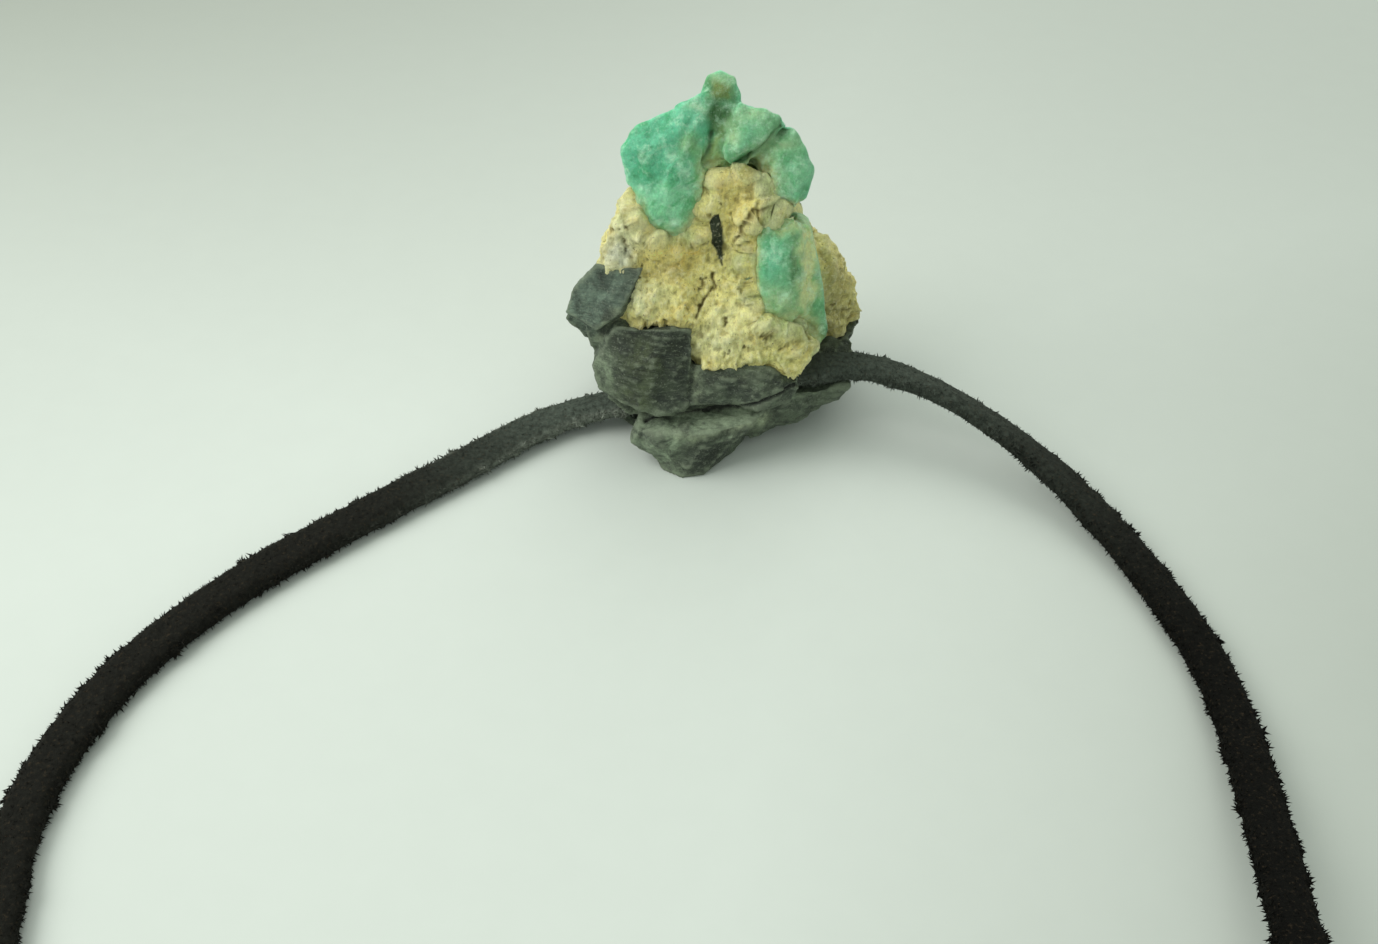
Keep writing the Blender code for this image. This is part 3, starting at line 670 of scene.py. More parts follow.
class StoneLooks(bpy.types.PropertyGroup):
    """Colours and relief of the three minerals."""

    emerald_deep: colour_setting("Emerald depth", "Shade of the clouds inside the crystals", (150, 215, 180))
    # The frost colour is also painted highlight on the sharp edges
    emerald_frost_and_highlight: colour_setting("Emerald frost", "Colour of the pale grains and edges", (190, 230, 198))
    # The hollow colour is painted shade down in the grooves
    emerald_hollow_shade: colour_setting("Emerald hollow", "Colour down in the grooves", (52, 92, 44))
    feldspar_stain: colour_setting("Feldspar stain", "Shade of the yellow patches", (232, 208, 150))
    # The pale colour is also painted highlight on the sharp edges
    feldspar_pale_and_highlight: colour_setting("Feldspar pale", "Colour of the sugary grains", (236, 234, 200))
    feldspar_speck: colour_setting("Feldspar speck", "Colour of the brown specks", (112, 98, 50))
    # The pit colour is brown stain in the pits and cracks, with painted shade
    feldspar_pit_stain_and_shade: colour_setting("Feldspar pit", "Colour down in the pits and cracks", (112, 96, 48))
    schist_dark: colour_setting("Schist dark", "Darker parts of the rock", (38, 46, 39))
    # The pale colour is also painted highlight on the worn edges
    schist_pale_and_highlight: colour_setting("Schist pale", "Worn edges and the paler leaves", (134, 146, 122))
    # The crack colour is painted shade
    schist_crack_shade: colour_setting("Schist crack", "Colour down in the cracks", (18, 22, 17))
    schist_glint: colour_setting("Schist glint", "Colour of the mica grains", (150, 160, 138))
    emerald_facet: length_setting("Emerald facet", "Height of the broken faces", 0.00020)
    feldspar_lump: length_setting("Feldspar lump", "Height of the lumps", 0.00022)
    schist_facet: length_setting("Schist facet", "Height of the broken faces", 0.00042)


class LaceLooks(bpy.types.PropertyGroup):
    """Size, colours and nap of the lace."""

    width: length_setting("Width", "Width of the flat lace", 0.003)
    thickness: length_setting("Thickness", "Thickness of the flat lace", 0.0015)
    suede: colour_setting("Suede", "Colour of the lace", (24, 24, 21))
    # Rubbed suede near the rock, with a painted sheen on it
    suede_worn_and_sheen: colour_setting("Worn suede", "Rubbed suede near the rock", (72, 80, 72))
    # The cut edges near the rock: partly raw hide, partly painted highlight
    suede_edge_and_highlight: colour_setting("Cut edge", "Raw hide along the cut edges near the rock", (142, 148, 136))
    suede_fleck: colour_setting("Suede fleck", "Brown flecks in the nap", (66, 56, 42))
    thread_colour: colour_setting("Thread", "Waxed thread of the tie", (92, 72, 52))
    fibre_length: length_setting("Fibre length", "Length of the loose fibres", 0.00028)
    fibre_width: length_setting("Fibre width", "Width of a fibre at its root", 0.00014)
    fibre_density: number_setting("Fibre density", "Fibres on a square metre of suede", 1.2e7, max=1e8)


class StudioLooks(bpy.types.PropertyGroup):
    """The floor and the lights."""

    floor_colour: colour_setting("Floor", "Colour of the pale floor", (197, 204, 198))
    floor_shade: colour_setting("Floor shade", "Shade of the floor away from the light", (180, 181, 174))
    key_power: number_setting("Key light", "Power of the large lamp", 1.25, subtype="POWER")
    key_size: length_setting("Key size", "Width of the large lamp", 0.36, 2.0)
    back_power: number_setting("Back light", "Power of the lamp behind", 0.7, subtype="POWER")
    back_size: length_setting("Back size", "Width of the lamp behind", 0.40, 2.0)
    fill: number_setting("Fill", "Strength of the light from all round", 0.70)
    fill_colour: colour_setting("Fill colour", "Colour of the light from all round", (246, 255, 246))


# The studio

class EMERALD_OT_studio(bpy.types.Operator):
    """Makes the camera, the floor and the lights"""

    bl_idname = "emerald.studio"
    bl_label = "Studio"

    def execute(self, context):
        looks = context.scene.emerald_studio
        camera = bpy.data.objects.new("camera", bpy.data.cameras.new("camera"))
        camera.location = CAMERA_PLACE
        camera.rotation_euler = (math.radians(CAMERA_DOWN), 0, 0)
        camera.data.lens = CAMERA_LENS
        camera.data.sensor_width = SENSOR_WIDTH
        camera.data.clip_start = CAMERA_NEAR
        context.scene.collection.objects.link(camera)
        context.scene.camera = camera
        signs = ((-1, -1), (1, -1), (1, 1), (-1, 1))
        corners = [(across * FLOOR_HALF, back * FLOOR_HALF, 0) for across, back in signs]
        floor = mesh_object("floor", corners, [(0, 1, 2, 3)])
        floor.data.materials.append(floor_material(looks))
        for name, place, size, power in (
            ("key", KEY_PLACE, looks.key_size, looks.key_power),
            ("back", BACK_PLACE, looks.back_size, looks.back_power),
        ):
            lamp = bpy.data.lights.new(name, "AREA")
            lamp.shape = "DISK"
            lamp.size = size
            lamp.energy = power
            lamp.color = LAMP_COLOUR
            light = bpy.data.objects.new(name, lamp)
            light.location = place
            light.rotation_euler = (LIT_PLACE - light.location).to_track_quat("-Z", "Y").to_euler()
            context.scene.collection.objects.link(light)
        world = bpy.data.worlds.new("studio")
        world.use_nodes = True
        background = world.node_tree.nodes["Background"]
        background.inputs["Color"].default_value = looks.fill_colour
        background.inputs["Strength"].default_value = looks.fill
        context.scene.world = world
        context.scene.view_settings.view_transform = "Standard"
        return {"FINISHED"}


# The lace

def smooth_route(points, spacing):
    """Evenly spaced points on a smooth curve through the route's own points, in mm, and the twist at each."""
    points = np.array(points, float) * (1 / MM, 1 / MM, 1 / MM, 1)
    ends = np.concatenate([points[:1], points, points[-1:]])
    share = np.linspace(0, 1, ROUTE_STEPS, endpoint=False)[:, None]
    pieces = []
    for before, start, end, after in zip(ends, ends[1:], ends[2:], ends[3:]):
        pieces.append(0.5 * (
            2 * start + (end - before) * share + (2 * before - 5 * start + 4 * end - after) * share ** 2
            + (3 * start - before - 3 * end + after) * share ** 3
        ))
    fine = np.concatenate(pieces + [points[-1:]])
    lengths = np.concatenate([[0], np.cumsum(np.linalg.norm(np.diff(fine[:, :3], axis=0), axis=1))])
    wanted = np.linspace(0, lengths[-1], round(lengths[-1] / spacing) + 1)
    spaced = np.stack([np.interp(wanted, lengths, column) for column in fine.T], axis=1)
    return spaced[:, :3], spaced[:, 3], lengths[-1]


def coil_route():
    """Points of the coiled turns, clockwise from where the lace comes in."""
    travelled, radii, heights = np.array(COIL_WINDING).T
    route = []
    for turned in np.arange(0, travelled[-1] + 1, COIL_STEP):
        radius = np.interp(turned, travelled, radii)
        height = np.interp(turned, travelled, heights)
        angle = math.radians(COIL_START_ANGLE - turned)
        from_tie = math.remainder(angle - TIE_ANGLE, 2 * math.pi)
        height += TIE_LIFT * math.exp(-(from_tie / TIE_LIFT_TURN) ** 2)
        across = COIL_CENTRE[0] + radius * math.cos(angle)
        back = COIL_CENTRE[1] + radius * math.sin(angle)
        route.append((across, back, height, 90))
    return route


def lace_line():
    """The lace's centreline in mm, its twist, and its length."""
    return smooth_route(RIGHT_ROUTE + coil_route() + LEFT_ROUTE, RING_SPACING)


def unit(vectors):
    return vectors / np.linalg.norm(vectors, axis=1)[:, None]


def flat_section(width, thickness, count):
    """Points round a flat section with round edges: across and up."""
    radius = thickness / 2
    straight = width - thickness
    half = straight + math.pi * radius
    points = []
    for step in range(count):
        lower, travelled = divmod(2 * half * (step + 0.5) / count, half)
        along = min(travelled, straight) - straight / 2
        turn = max(travelled - straight, 0) / radius
        side = 1 - 2 * lower
        points.append((side * (along + radius * math.sin(turn)), side * radius * math.cos(turn)))
    return np.array(points)


def tube(name, centres, across, section, widths=None, heights=None):
    """A closed tube along the centres, whose section's first axis lies along the across vectors."""
    ahead = unit(np.gradient(centres, axis=0))
    across = unit(across - ahead * np.sum(across * ahead, axis=1)[:, None])
    up = np.cross(across, ahead)
    widths = np.ones(len(centres)) if widths is None else widths
    heights = np.ones(len(centres)) if heights is None else heights
    side = section[None, :, 0, None] * (across * widths[:, None])[:, None]
    rise = section[None, :, 1, None] * (up * heights[:, None])[:, None]
    points = (centres[:, None] + side + rise).reshape(-1, 3)
    count, rings = len(section), len(centres)
    ring, step = np.meshgrid(np.arange(rings - 1), np.arange(count), indexing="ij")
    after = (step + 1) % count
    start = ring * count
    sides = (start + step, start + after, start + count + after, start + count + step)
    faces = np.stack(sides, axis=-1).reshape(-1, 4).tolist()
    last = (rings - 1) * count
    faces += [list(range(count))[::-1], list(range(last, last + count))]
    item = mesh_object(name, points, faces)
    mesh = bmesh.new()
    mesh.from_mesh(item.data)
    bmesh.ops.recalc_face_normals(mesh, faces=mesh.faces)
    mesh.to_mesh(item.data)
    mesh.free()
    item.data.shade_smooth()
    return item


def lace_across(centres, twist):
    """The way of the lace's width: level at a twist of 90 degrees, and upright at none."""
    ahead = unit(np.gradient(centres, axis=0))
    level = unit(np.cross(ahead, np.array((0.0, 0.0, 1.0))))
    up = np.cross(level, ahead)
    turn = np.radians(90 - twist)[:, None]
    return level * np.cos(turn) + up * np.sin(turn)


# Heights in mm of the suede's slow and quick unevenness, and of the roughness and the tufts of its cut edges
NAP_SLOW = 0.04
NAP_QUICK = 0.04
EDGE_ROUGHNESS = 0.08
TUFT_HEIGHT = 0.20
# Where the lace goes into the rock, how far it is worn and carries a painted sheen from there, and how far its
# edges are pale, in mm
LEFT_OPENING = (-9.0, -3.0, 2.0)
RIGHT_OPENING = (12.0, -3.0, 6.0)
LEFT_WEAR_AND_SHEEN = 12.0
RIGHT_WEAR_AND_SHEEN = 16.0
PALE_EDGE = 15.0
# The share of the wear and painted sheen on the right, how dark the lace is towards the coil, and how much
# wider it is far left
RIGHT_WEAR_AND_SHEEN_SHARE = 0.75
LACE_SHADE = 0.7
LEFT_WIDENING = 0.10


def napped(item, section, seed):
    """Gives suede its uneven surface and torn edges, and returns how torn each point is, from 0 to 1."""
    points = read_points(item.data)
    normals = read_normals(item.data)
    across = np.abs(section[:, 0]) / np.abs(section[:, 0]).max()
    on_edge = np.resize(blend_in(across, 0.72, 1.0), len(points))
    tufts = blend_in(rough_noise(points, 0.7, seed + 9), 0.1, 0.6)
    torn = on_edge * (0.5 + 0.5 * tufts)
    relief = NAP_SLOW * soft_noise(points, 1.9, seed) + NAP_QUICK * rough_noise(points, 0.6, seed + 5)
    relief += on_edge * (EDGE_ROUGHNESS * rough_noise(points, 0.45, seed + 15) + TUFT_HEIGHT * tufts)
    write_points(item.data, lifted(points + normals * relief[:, None]))
    store(item.data, "torn", torn)
    return torn


def lifted(points):
    """Nothing goes below the floor."""
    return np.stack([points[:, 0], points[:, 1], np.maximum(points[:, 2], FLOOR_GAP)], axis=1)


def lace_tint(points, torn, looks):
    """Nearly black, rubbed grey with a painted sheen near the rock, with pale cut edges on its left that are
    partly raw hide and partly painted highlight.
    """
    from_left = np.linalg.norm(points - LEFT_OPENING, axis=1) + 2.0 * soft_noise(points, 2.5, 61)
    from_right = np.linalg.norm(points - RIGHT_OPENING, axis=1) + 2.0 * soft_noise(points, 2.5, 67)
    # How much the lace is worn and carries a painted sheen near where it goes into the rock
    wear_and_sheen = np.exp(-(from_left / LEFT_WEAR_AND_SHEEN) ** 2) + RIGHT_WEAR_AND_SHEEN_SHARE * np.exp(-(from_right / RIGHT_WEAR_AND_SHEEN) ** 2)
    shade = blend_in(points[:, 0], 12.0, 30.0) * blend_in(-points[:, 1], 5.0, 30.0)
    tint = np.tile(looks.suede[:3], (len(points), 1)) * (1 - LACE_SHADE * shade)[:, None]
    tint = painted(tint, np.clip(wear_and_sheen, 0, 1), looks.suede_worn_and_sheen, 0.9)
    # Pale torn edges on the left: partly raw hide, partly painted highlight
    return painted(tint, torn * np.exp(-(from_left / PALE_EDGE) ** 2), looks.suede_edge_and_highlight, 0.9)


class EMERALD_OT_lace(bpy.types.Operator):
    """Makes the whole lace in one piece: through the rock, out to the coil and back"""

    bl_idname = "emerald.lace"
    bl_label = "Lace"

    def execute(self, context):
        looks = context.scene.emerald_lace
        centres, twist, _ = lace_line()
        section = flat_section(looks.width / MM, looks.thickness / MM, SECTION_POINTS)
        widths = 1 + 0.030 * soft_noise(centres, 2.3, 31) + 0.018 * soft_noise(centres, 0.8, 37)
        widths += LEFT_WIDENING * blend_in(-centres[:, 0], 8.0, 20.0)
        heights = 1 + 0.05 * soft_noise(centres, 2.9, 41)
        lace = tube("lace", centres, lace_across(centres, twist), section, widths, heights)
        torn = napped(lace, section, 51)
        store(lace.data, "tint", lace_tint(read_points(lace.data), torn, looks))
        lace.data.materials.append(suede_material(looks))
        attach(lace, "root")
        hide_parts("lace_right", "lace_left", "lace_coil")
        return {"FINISHED"}


# The knot that joins the lace's ends, and the thread round the coil

KNOT_CENTRE = (-28.5, -78.0, 2.3)
KNOT_AHEAD = (-0.64, 0.77, 0.0)
# The lace's width and thickness where the knot is pulled tight
KNOT_TIGHT = (0.97, 0.9)
# Along the lace, across it and up from it, in mm: from one tail, twice round, to the other tail
KNOT_WRAP = [
    (-4.6, 7.2, -1.55), (-3.6, 4.8, -1.35), (-2.0, 3.1, -0.6), (-1.45, 1.9, 1.0), (-1.35, 0.0, 1.62),
    (-1.3, -1.9, 1.0), (-1.2, -2.35, -0.2), (-1.0, -1.6, -1.35), (-0.2, 0.0, -1.58), (0.9, 1.6, -1.35),
    (1.3, 2.35, -0.1), (1.4, 1.8, 1.05), (1.45, 0.0, 1.66), (1.5, -1.9, 1.0), (2.0, -3.0, -0.5),
    (3.4, -4.6, -1.4), (4.4, -6.8, -1.55),
]
# The thread's way round the coil's section: out from the middle of its turns, and up, in mm
TIE_SECTION = [
    (-3.35, 1.2), (-2.9, 0.3), (0.0, 0.17), (2.9, 0.3), (3.4, 1.2), (2.95, 2.2), (2.3, 3.5), (1.3, 3.95),
    (-0.6, 3.95), (-1.5, 3.4), (-2.9, 2.2),
]


class EMERALD_OT_ties(bpy.types.Operator):
    """Makes the knot in the lace and the thread that holds the coil"""

    bl_idname = "emerald.ties"
    bl_label = "Knot and thread"

    def execute(self, context):
        looks = context.scene.emerald_lace
        ahead = unit(np.array([KNOT_AHEAD]))[0]
        side = np.array((-ahead[1], ahead[0], 0.0))
        axes = np.array((ahead, side, (0.0, 0.0, 1.0)))
        route = [(*(np.array(KNOT_CENTRE) + np.array(point) @ axes) * MM, 0) for point in KNOT_WRAP]
        centres, _, _ = smooth_route(route, RING_SPACING)
        width, thickness = KNOT_TIGHT[0] * looks.width, KNOT_TIGHT[1] * looks.thickness
        section = flat_section(width / MM, thickness / MM, SECTION_POINTS)
        widths = 1 + 0.03 * soft_noise(centres, 1.5, 71)
        knot = tube("knot", centres, np.tile(ahead, (len(centres), 1)), section, widths)
        torn = napped(knot, section, 81)
        store(knot.data, "tint", lace_tint(read_points(knot.data), torn, looks))
        knot.data.materials.append(bpy.data.materials.get("suede nap") or suede_material(looks))
        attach(knot, "root")
        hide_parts("lace_knot")
        outward = np.array((math.cos(TIE_ANGLE), math.sin(TIE_ANGLE), 0.0))
        along = np.array((-outward[1], outward[0], 0.0))
        middle = np.array((*COIL_CENTRE, 0.0)) / MM + outward * TIE_RADIUS
        thread_route = []
        count = len(TIE_SECTION)
        for step in range(TIE_WRAPS * count + 1):
            out, height = TIE_SECTION[step % count]
            shift = (step / count - TIE_WRAPS / 2) * TIE_THREAD * TIE_SPACING
            place = middle + outward * out + along * shift + (0, 0, height)
            thread_route.append((*place * MM, 0))
        centres, _, _ = smooth_route(thread_route, THREAD_RINGS)
        turns = np.linspace(0, 2 * math.pi, THREAD_POINTS + 1)[:-1]
        circle = np.stack([np.cos(turns), np.sin(turns)], axis=1) * TIE_THREAD / 2
        thread = tube("coil_thread", centres, np.tile(along, (len(centres), 1)), circle)
        thread.data.materials.append(thread_material(looks))
        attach(thread, "root")
        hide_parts("coil_tie")
        return {"FINISHED"}


# Suede fibres, by Geometry Nodes

# How many fibres stand on whole suede, and how many more on a torn edge, as shares of the density
FIBRES_WHOLE = 0.35
FIBRES_TORN = 2.2
# How far a fibre bends, as a share of its length, and how far it leans, in radians
FIBRE_BEND = 0.45
FIBRE_LEAN = 1.0
# The shortest and longest fibres, as shares of the length, and their growth on whole suede and on a torn edge
FIBRE_SIZES = (0.45, 1.15)
GROWTH_WHOLE = 0.75
GROWTH_TORN = 1.1
FULL_TURN = 6.2832


def fibre_tree():
    """A node tree that stands short bent fibres on a surface and keeps them as one mesh."""
    tree = bpy.data.node_groups.new("suede fibres", "GeometryNodeTree")
    sockets = tree.interface
    sockets.new_socket("Geometry", in_out="INPUT", socket_type="NodeSocketGeometry")
    for name, kind in (
        ("Density", "Float"), ("Length", "Float"), ("Width", "Float"), ("Lean", "Float"), ("Seed", "Int"),
        ("Material", "Material"),
    ):
        sockets.new_socket(name, in_out="INPUT", socket_type="NodeSocket" + kind)
    sockets.new_socket("Geometry", in_out="OUTPUT", socket_type="NodeSocketGeometry")

    nodes = Nodes(tree)
    add = nodes.add
    math_of = nodes.math

    def vector_of(x, y, z):
        return add("ShaderNodeCombineXYZ", {"X": x, "Y": y, "Z": z}).outputs[0]

    given = add("NodeGroupInput").outputs
    torn = add("GeometryNodeInputNamedAttribute", {"Name": "torn"}, data_type="FLOAT").outputs["Attribute"]
    more = math_of("ADD", math_of("MULTIPLY", torn, FIBRES_TORN), FIBRES_WHOLE)
    spread = add("GeometryNodeDistributePointsOnFaces", {
        "Mesh": given["Geometry"], "Density": math_of("MULTIPLY", given["Density"], more),
        "Seed": given["Seed"],
    }, distribute_method="RANDOM")
    cone = add("GeometryNodeMeshCone", {
        "Vertices": 3, "Side Segments": 1, "Radius Top": 0.0, "Radius Bottom": given["Width"],
        "Depth": given["Length"],
    }, fill_type="NONE")
    height = add("ShaderNodeSeparateXYZ", {0: add("GeometryNodeInputPosition").outputs[0]}).outputs["Z"]
    share = math_of("DIVIDE", height, given["Length"])
    most = math_of("MULTIPLY", given["Length"], FIBRE_BEND)
    bend = vector_of(math_of("MULTIPLY", math_of("MULTIPLY", share, share), most), 0.0, 0.0)
    bent = add("GeometryNodeSetPosition", {"Geometry": cone.outputs["Mesh"], "Offset": bend})
    lean = math_of("MULTIPLY", given["Lean"], -1.0)
    tilt = add("FunctionNodeRandomValue", {
        0: vector_of(lean, lean, 0.0), 1: vector_of(given["Lean"], given["Lean"], FULL_TURN), "Seed": 3,
    }, data_type="FLOAT_VECTOR")
    tilt_turn = add("FunctionNodeEulerToRotation", {0: tilt.outputs[0]}).outputs[0]
    turned = add(
        "FunctionNodeRotateRotation", {0: spread.outputs["Rotation"], 1: tilt_turn}, rotation_space="LOCAL",
    )
    size = add("FunctionNodeRandomValue", {2: FIBRE_SIZES[0], 3: FIBRE_SIZES[1], "Seed": 5}, data_type="FLOAT")
    longer = math_of("ADD", math_of("MULTIPLY", torn, GROWTH_TORN), GROWTH_WHOLE)
    placed = add("GeometryNodeInstanceOnPoints", {
        "Points": spread.outputs["Points"], "Instance": bent.outputs[0], "Rotation": turned.outputs[0],
        "Scale": math_of("MULTIPLY", size.outputs[1], longer),
    })
    real = add("GeometryNodeRealizeInstances", {0: placed.outputs[0]})
    place = add("ShaderNodeSeparateXYZ", {0: add("GeometryNodeInputPosition").outputs[0]}).outputs
    over_floor = vector_of(place["X"], place["Y"], math_of("MAXIMUM", place["Z"], FLOOR_GAP * MM))
    lying = add("GeometryNodeSetPosition", {"Geometry": real.outputs[0], "Position": over_floor})
    coloured = add("GeometryNodeSetMaterial", {"Geometry": lying.outputs[0], "Material": given["Material"]})
    tree.links.new(coloured.outputs[0], add("NodeGroupOutput").inputs[0])
    return tree


class EMERALD_OT_fibres(bpy.types.Operator):
    """Stands loose fibres on the suede of the lace"""

    bl_idname = "emerald.fibres"
    bl_label = "Suede fibres"

    def execute(self, context):
        looks = context.scene.emerald_lace
        data = bpy.data.objects["lace"].data.copy()
        fibres = bpy.data.objects.new("lace_fibres", data)
        context.scene.collection.objects.link(fibres)
        modifier = fibres.modifiers.new("fibres", "NODES")
        modifier.node_group = fibre_tree()
        values = {
            "Density": looks.fibre_density, "Length": looks.fibre_length, "Width": looks.fibre_width / 2,
            "Lean": FIBRE_LEAN, "Seed": 7, "Material": bpy.data.materials["suede nap"],
        }
        for item in modifier.node_group.interface.items_tree:
            if item.in_out == "INPUT" and item.name in values:
                modifier[item.identifier] = values[item.name]
        plain_mesh(fibres)
        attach(fibres, "root")
        centres, _, length = lace_line()
        return {"FINISHED"}


# The minerals

CRYSTAL_NODES = ["emerald_cluster", "emerald_prism"]


def dress(name, node, points, tint, material):
    item = bpy.data.objects[name]
    write_points(item.data, points)
    store(item.data, "tint", tint)
    item.data.materials.clear()
    item.data.materials.append(material)
    item.data.shade_smooth()
    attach(item, "root")
    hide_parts(node)


TURQUOISE = colour_of(98, 192, 150)
DEEP_TURQUOISE = colour_of(60, 164, 124)
MINT = colour_of(134, 206, 160)
EMERALD_GREEN = colour_of(120, 180, 130)
PRISM_GREEN = colour_of(106, 172, 122)
DEEP_GREEN = colour_of(52, 106, 50)
YELLOW_GREEN = colour_of(140, 170, 100)
PALE_GREEN = colour_of(158, 194, 142)
EMERALD_CREAM = colour_of(186, 194, 134)
EMERALD_FROST = colour_of(196, 226, 190)
OLIVE_FLANK = colour_of(204, 212, 146)
TIP_BROWN = colour_of(112, 134, 62)
# Where each crystal changes colour: the centre or two ends, the reach, the colour and its strength
CLUSTER_ZONES = [
    ((4.8, 24.0), (3.0, 4.2), EMERALD_GREEN, 1.3), ((-4.6, 22.4), (1.6, 0.8), DEEP_TURQUOISE, 0.9),
    ((-6.2, 24.0), (0.8, 1.0), DEEP_TURQUOISE, 0.6), ((-3.0, 21.4), (1.3, 0.8), MINT, 0.9),
    ((-4.1, 25.6), (1.6, 0.8), DEEP_TURQUOISE, 0.5), ((-2.2, 24.5), (0.9, 1.0), YELLOW_GREEN, 0.6),
    ((-1.1, 23.2), (0.7, 1.3), YELLOW_GREEN, 0.8), ((-2.6, 19.6), (1.3, 0.9), MINT, 0.8),
    ((0.0, 29.6), (1.5, 0.7), PALE_GREEN, 0.8), ((0.1, 28.7), (1.0, 0.7), TIP_BROWN, 1.8),
    ((1.1, 28.0), (0.6, 0.9), DEEP_GREEN, 0.5), ((-0.3, 26.9), (0.7, 1.1), DEEP_GREEN, 1.1),
    (((0.4, 26.6), (-0.3, 23.8)), 0.55, YELLOW_GREEN, 1.0), ((-1.6, 27.5), (0.8, 0.4), EMERALD_FROST, 0.8),
    ((1.2, 25.6), (0.6, 1.2), PALE_GREEN, 1.0), ((2.6, 27.0), (1.6, 0.7), PALE_GREEN, 0.7),
    ((4.8, 24.9), (1.3, 0.5), PALE_GREEN, 0.8), ((5.9, 22.6), (0.9, 1.7), MINT, 0.7),
    ((-3.8, 20.5), (1.8, 1.4), MINT, 1.2), ((0.1, 26.9), (0.8, 1.0), DEEP_GREEN, 1.2),
    ((3.6, 22.8), (0.9, 1.4), EMERALD_CREAM, 0.9), (((-0.6, 22.6), (-1.0, 19.6)), 0.45, EMERALD_CREAM, 0.8),
    (((-1.4, 19.2), (-3.0, 18.3)), 0.4, EMERALD_CREAM, 0.7),
    (((3.9, 22.4), (4.3, 20.8)), 0.6, EMERALD_CREAM, 0.7), ((-3.6, 18.2), (3.0, 0.5), PALE_GREEN, 0.8),
]
PRISM_ZONES = [
    # The second zone is painted shade along the prism's right edge, where its front turns to the flank
    ((4.1, 16.6), (1.1, 1.6), TURQUOISE, 0.8), ((6.0, 16.4), (0.35, 3.2), DEEP_GREEN, 0.7),
    ((4.9, 19.2), (1.5, 0.5), PALE_GREEN, 0.9), ((4.9, 13.4), (1.3, 0.9), PALE_GREEN, 1.2),
    ((7.3, 16.0), (0.8, 5.0), OLIVE_FLANK, 1.4), ((8.0, 12.9), (0.8, 0.9), EMERALD_GREEN, 0.9),
    ((8.6, 11.1), (0.9, 0.8), DEEP_GREEN, 1.3), ((4.4, 12.0), (2.0, 0.5), EMERALD_CREAM, 0.6),
    (((2.8, 18.8), (2.9, 13.4)), 0.5, EMERALD_CREAM, 0.8),
]
# The groove under the leaning crystal, the hole at its end, and the crevice down from the tip in two parts,
# all cut in and darkened with painted shade. Each has two ends, a reach and a depth in mm
GROOVES = [
    (((5.2, 26.2), (2.9, 23.9)), 0.42, 0.5), (((2.4, 23.6), (1.5, 23.2)), 0.5, 0.9),
    (((0.0, 27.6), (-0.4, 25.6)), 0.40, 0.25), (((-0.4, 25.6), (-0.9, 23.4)), 0.26, 0.35),
]
# How much painted shade darkens a groove for each mm of its depth
GROOVE_SHADE = 0.95
TIP_PLACE = ((0.0, 29.2), (1.6, 1.8))
# Crystals with sharper corners than the plain solids, by their corners: places across and up on the front, and
# how far each stands out from it
LEANING_CRYSTAL = [
    (1.6, 27.8, 1.2), (5.0, 26.7, 1.2), (2.7, 24.2, 1.2), (1.4, 24.3, 1.9), (0.9, 27.2, 0.6),
    (-0.3, 23.3, 0.3), (0.9, 22.8, 0.3), (1.6, 27.8, -1.5), (5.0, 26.7, -1.5), (2.7, 24.2, -1.5),
    (-0.3, 22.2, -1.5), (1.2, 22.2, -1.5),
]
LEFT_CRYSTAL = [
    (-1.1, 24.6, 1.6), (-0.7, 22.0, 1.6), (-1.1, 19.6, 1.5), (-2.9, 18.4, 1.4), (-5.0, 19.0, 1.3),
    (-4.0, 22.0, 2.4), (-1.1, 24.6, -1.0), (-0.8, 22.0, -1.0), (-1.2, 19.7, -1.0), (-2.9, 18.5, -1.0),
    (-5.0, 19.0, -1.0),
]
RIGHT_CRYSTAL = [
    (5.9, 25.7, 0.6), (6.9, 23.9, 0.6), (6.4, 20.1, 1.4), (4.3, 20.7, 1.6), (3.9, 23.0, 1.2),
    (5.9, 25.7, -1.5), (6.9, 23.9, -1.5), (6.3, 20.2, -1.5), (4.3, 20.8, -1.5), (3.9, 23.0, -1.5),
]
LOWER_PRISM = [
    (3.1, 19.8, 1.3), (6.4, 20.1, 1.7), (6.6, 15.0, 2.0), (6.4, 12.7, 1.7), (4.0, 12.5, 1.6),
    (2.2, 14.7, 1.5), (3.3, 19.8, -1.0), (6.4, 19.8, -1.0), (6.4, 12.9, -1.0), (4.1, 12.7, -1.0),
    (2.6, 14.7, -1.0),
]
PRISM_FLANK = [
    (6.2, 19.9, 1.4), (6.6, 15.0, 1.8), (6.4, 12.9, 1.4), (6.6, 11.4, 0.9), (7.4, 18.6, 0.2),
    (8.1, 16.1, 0.1), (9.0, 11.0, -0.2), (6.4, 19.8, -1.5), (7.4, 18.6, -1.5), (8.1, 16.1, -1.5),
    (9.0, 11.0, -1.5), (6.4, 11.4, -1.5),
]
# The borders along which the crystals and the crust run into each other
CRYSTAL_BORDERS = [
    ((-7.4, 20.8), (-5.3, 18.3)), ((-5.3, 18.3), (-2.9, 17.6)), ((-2.9, 17.6), (-0.5, 19.0)),
    ((-0.5, 19.0), (0.0, 22.2)), ((3.1, 22.6), (3.8, 20.6)), ((2.6, 20.4), (1.3, 14.8)),
    ((1.3, 14.8), (3.4, 11.8)), ((3.5, 12.0), (6.4, 11.7)),
]
# Where the prism's skin swells to close a step: a centre or two ends, the reach and the way in mm
PRISM_FILLS = [
    (((2.4, 18.8), (2.2, 14.0)), 0.5, (0.0, 0.4, -0.25)), ((5.4, 21.0), (2.0, 0.7), (0.0, 0.5, -0.3)),
]
